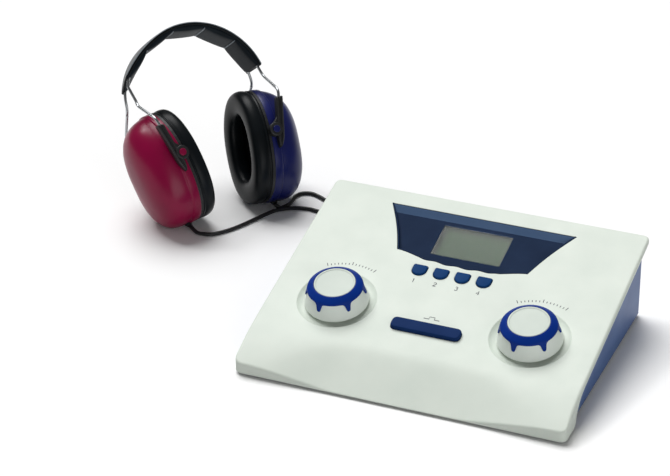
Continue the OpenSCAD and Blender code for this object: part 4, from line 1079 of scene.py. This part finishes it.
def wire_mesh(end, arc_r=BAND_R - 3, leaves=radians(12), wire_r=1.25, bend_r=5.0):
    """A spring wire: over the band inside its strip, out at both ends and down into the guides."""
    leave = np.array([arc_r * cos(leaves), end * 11, BAND_UP + arc_r * sin(leaves)])
    knee = leave + (1.6, end * 2, -10)
    top = np.array([WIRE_X + 6.5 * WIRE_SLANT, end * WIRE_Y, 33.5])
    foot = np.array([WIRE_X - 31 * WIRE_SLANT, end * WIRE_Y, -4])
    bent = [leave]
    for a, b, c in ((leave, knee, top), (knee, top, foot)):
        p, q = b + towards(b, a) * bend_r, b + towards(b, c) * bend_r
        bent += [bezier(p, b, q, t) for t in np.linspace(0, 1, 9)]
    bent.append(foot)
    over = [lean(arc_r, a, end * 11) for a in np.radians(np.linspace(14, 166, 52))]
    left = [lean(arc_r, pi - leaves, end * 11)] + [hs(p * (-1, 1, 1)) for p in bent[2:]]
    return tube([hs(p) for p in bent][::-1] + over + left, wire_r, 14)


for end, where in ENDS:
    piece(add_mesh(where + "_wire_rod", *wire_mesh(end)), "steel", "headset", "wire", where + "_wire")

# ---- the cords' ends ----

def plug_mesh(side):
    """A phone plug in its socket, with a ribbed grip and a tapered, ribbed sleeve, along the room's y."""
    profile = [(0.01, 74.8), (2.2, 74.8), (3.0, 76.2), (3.15, 77.5), (2.6, 79.2), (2.6, 80.0), (3.15, 81.5),
               (3.15, 103.4), (5.2, 103.5), (6.0, 103.7), (6.5, 104.4), (6.5, 108)]
    for k in range(9):
        y = 109 + 2.2 * k
        profile += [(6.5, y), (6.5, y + 1.0), (6.05, y + 1.2), (6.05, y + 1.9)]
    profile += [(6.5, 129.5), (6.5, 133.5), (6.1, 135.2), (4.6, 135.7)]
    for k in range(5):
        y, rib, groove = 136 + 2.3 * k, 0.34 * k, 0.3 * k
        profile += [(4.1 - rib, y), (4.0 - rib, y + 1.3), (3.4 - groove, y + 1.5), (3.35 - groove, y + 2.1)]
    profile += [(2.3, 147.4), (1.75, 147.7), (0.01, 147.6)]
    return lathe(profile, lambda x, z, y: np.array([PLUG_X[side] + x, y, PLUG_Z + z]), 48)


def straps_mesh(side, width=4.0, thick=0.55):
    """Two straps that hold a coil's turns."""
    middle = np.array([*COILS[side], 6.8])
    loop = dense([(11.6, -6.75), (26.4, -6.75), (26.4, 7.4), (11.6, 7.4)], [2.2] * 4, 3)
    straps = []
    for angle in map(radians, (200, 335)):
        out = np.array([cos(angle), sin(angle), 0])
        across = np.array([-out[1], out[0], 0])
        rows = [[middle + out * r + np.array([0, 0, z]) + across * t for r, z in inset(loop, d)]
                for d, t in ((0, -width / 2), (0, width / 2), (thick, width / 2), (thick, -width / 2))]
        straps.append(loft(rows, closed=True))
    return join(*straps)


for side, who in SIDES.items():
    plug = hard(who + "_phone_plug", plug_mesh(side), "black", "headset", "plug", who + "_plug")
    tie = add_mesh(who + "_coil_straps", *straps_mesh(side), smooth=False)
    piece(tie, "rubber", "headset", "cord")
    obj, path = cords[side]
    piece(obj, "cord", "headset", "cord", who + "_cord", who + "_coil")

# ---- what the frame keeps showing ----

keep = {
    "side_blue": ["base_shell"], "glass": ["display_window"], "lcd": ["lcd_module"], "board": ["main_board"],
    "black": ["key_switches", "tone_switch", "right_jack", "left_jack", "response_jack", "power_inlet",
              "rocker_housing", "red_plate", "blue_plate"],
    "steel": ["level_shaft", "frequency_shaft", "encoder_nuts", "case_screws", "board_screws"],
    "grey": ["level_encoder", "frequency_encoder", "power_rocker", "red_driver", "blue_driver"],
    "rubber": ["rubber_feet"],
}
for mat, names in keep.items():
    for name in names:
        for slot in nodes[name].material_slots:
            slot.material = mats[mat]

# ---- floor and light ----

FLOOR_HALF = 5000
FLOOR_BOUNCE, FLOOR_SEEN = (0.62, 0.62, 0.62, 1), (1.0, 1.0, 1.0, 1)
WORLD_LIGHT, WORLD_SEEN = 0.14, 1.0


def either_ray(tree, first, other):
    """1 where a ray is of one of the two kinds, otherwise 0."""
    path = add_node(tree, "LightPath").outputs
    return add_node(tree, "Math", {0: path[first], 1: path[other]}, operation="MAXIMUM").outputs[0]


def white_floor():
    corners = [(x, y, 0) for x, y in box(FLOOR_HALF, FLOOR_HALF)]
    obj = add_mesh("floor", corners, [(0, 1, 2, 3)], smooth=False)
    mat = bpy.data.materials.new("white_floor")
    mat.use_nodes = True
    tree = mat.node_tree
    seen = either_ray(tree, "Is Camera Ray", "Is Glossy Ray")
    tone = add_node(tree, "Mix", {MIX_FACTOR: seen, MIX_A: FLOOR_BOUNCE, MIX_B: FLOOR_SEEN}, data_type="RGBA")
    plug_in(tree, tree.nodes["Principled BSDF"], {
        "Base Color": tone.outputs[MIX_RESULT], "Roughness": 0.9, "Specular IOR Level": 0.0})
    obj.data.materials.append(mat)


def studio():
    world = bpy.data.worlds.new("studio")
    bpy.context.scene.world = world
    world.use_nodes = True
    tree = world.node_tree
    seen = either_ray(tree, "Is Camera Ray", "Is Transmission Ray")
    level = add_node(tree, "MapRange", {"Value": seen, "To Min": WORLD_LIGHT, "To Max": WORLD_SEEN})
    plug_in(tree, tree.nodes["Background"], {"Color": (1, 1, 1, 1), "Strength": level.outputs["Result"]})


def sun(name, comes_from, strength, angle):
    data = bpy.data.lights.new(name, "SUN")
    data.energy, data.angle = strength, radians(angle)
    obj = bpy.data.objects.new(name, data)
    obj.rotation_euler = Vector(comes_from).to_track_quat("Z", "Y").to_euler()
    bpy.context.scene.collection.objects.link(obj)


white_floor()
studio()
sun("key_light", (-0.36, 0.36, 0.86), 2.75, 42)
sun("spark_light", (-0.62, 0.1, 0.77), 0.35, 9)
sun("fill_light", (0.72, -0.68, 0.1), 1.2, 50)
bpy.context.scene.view_settings.view_transform = "Standard"
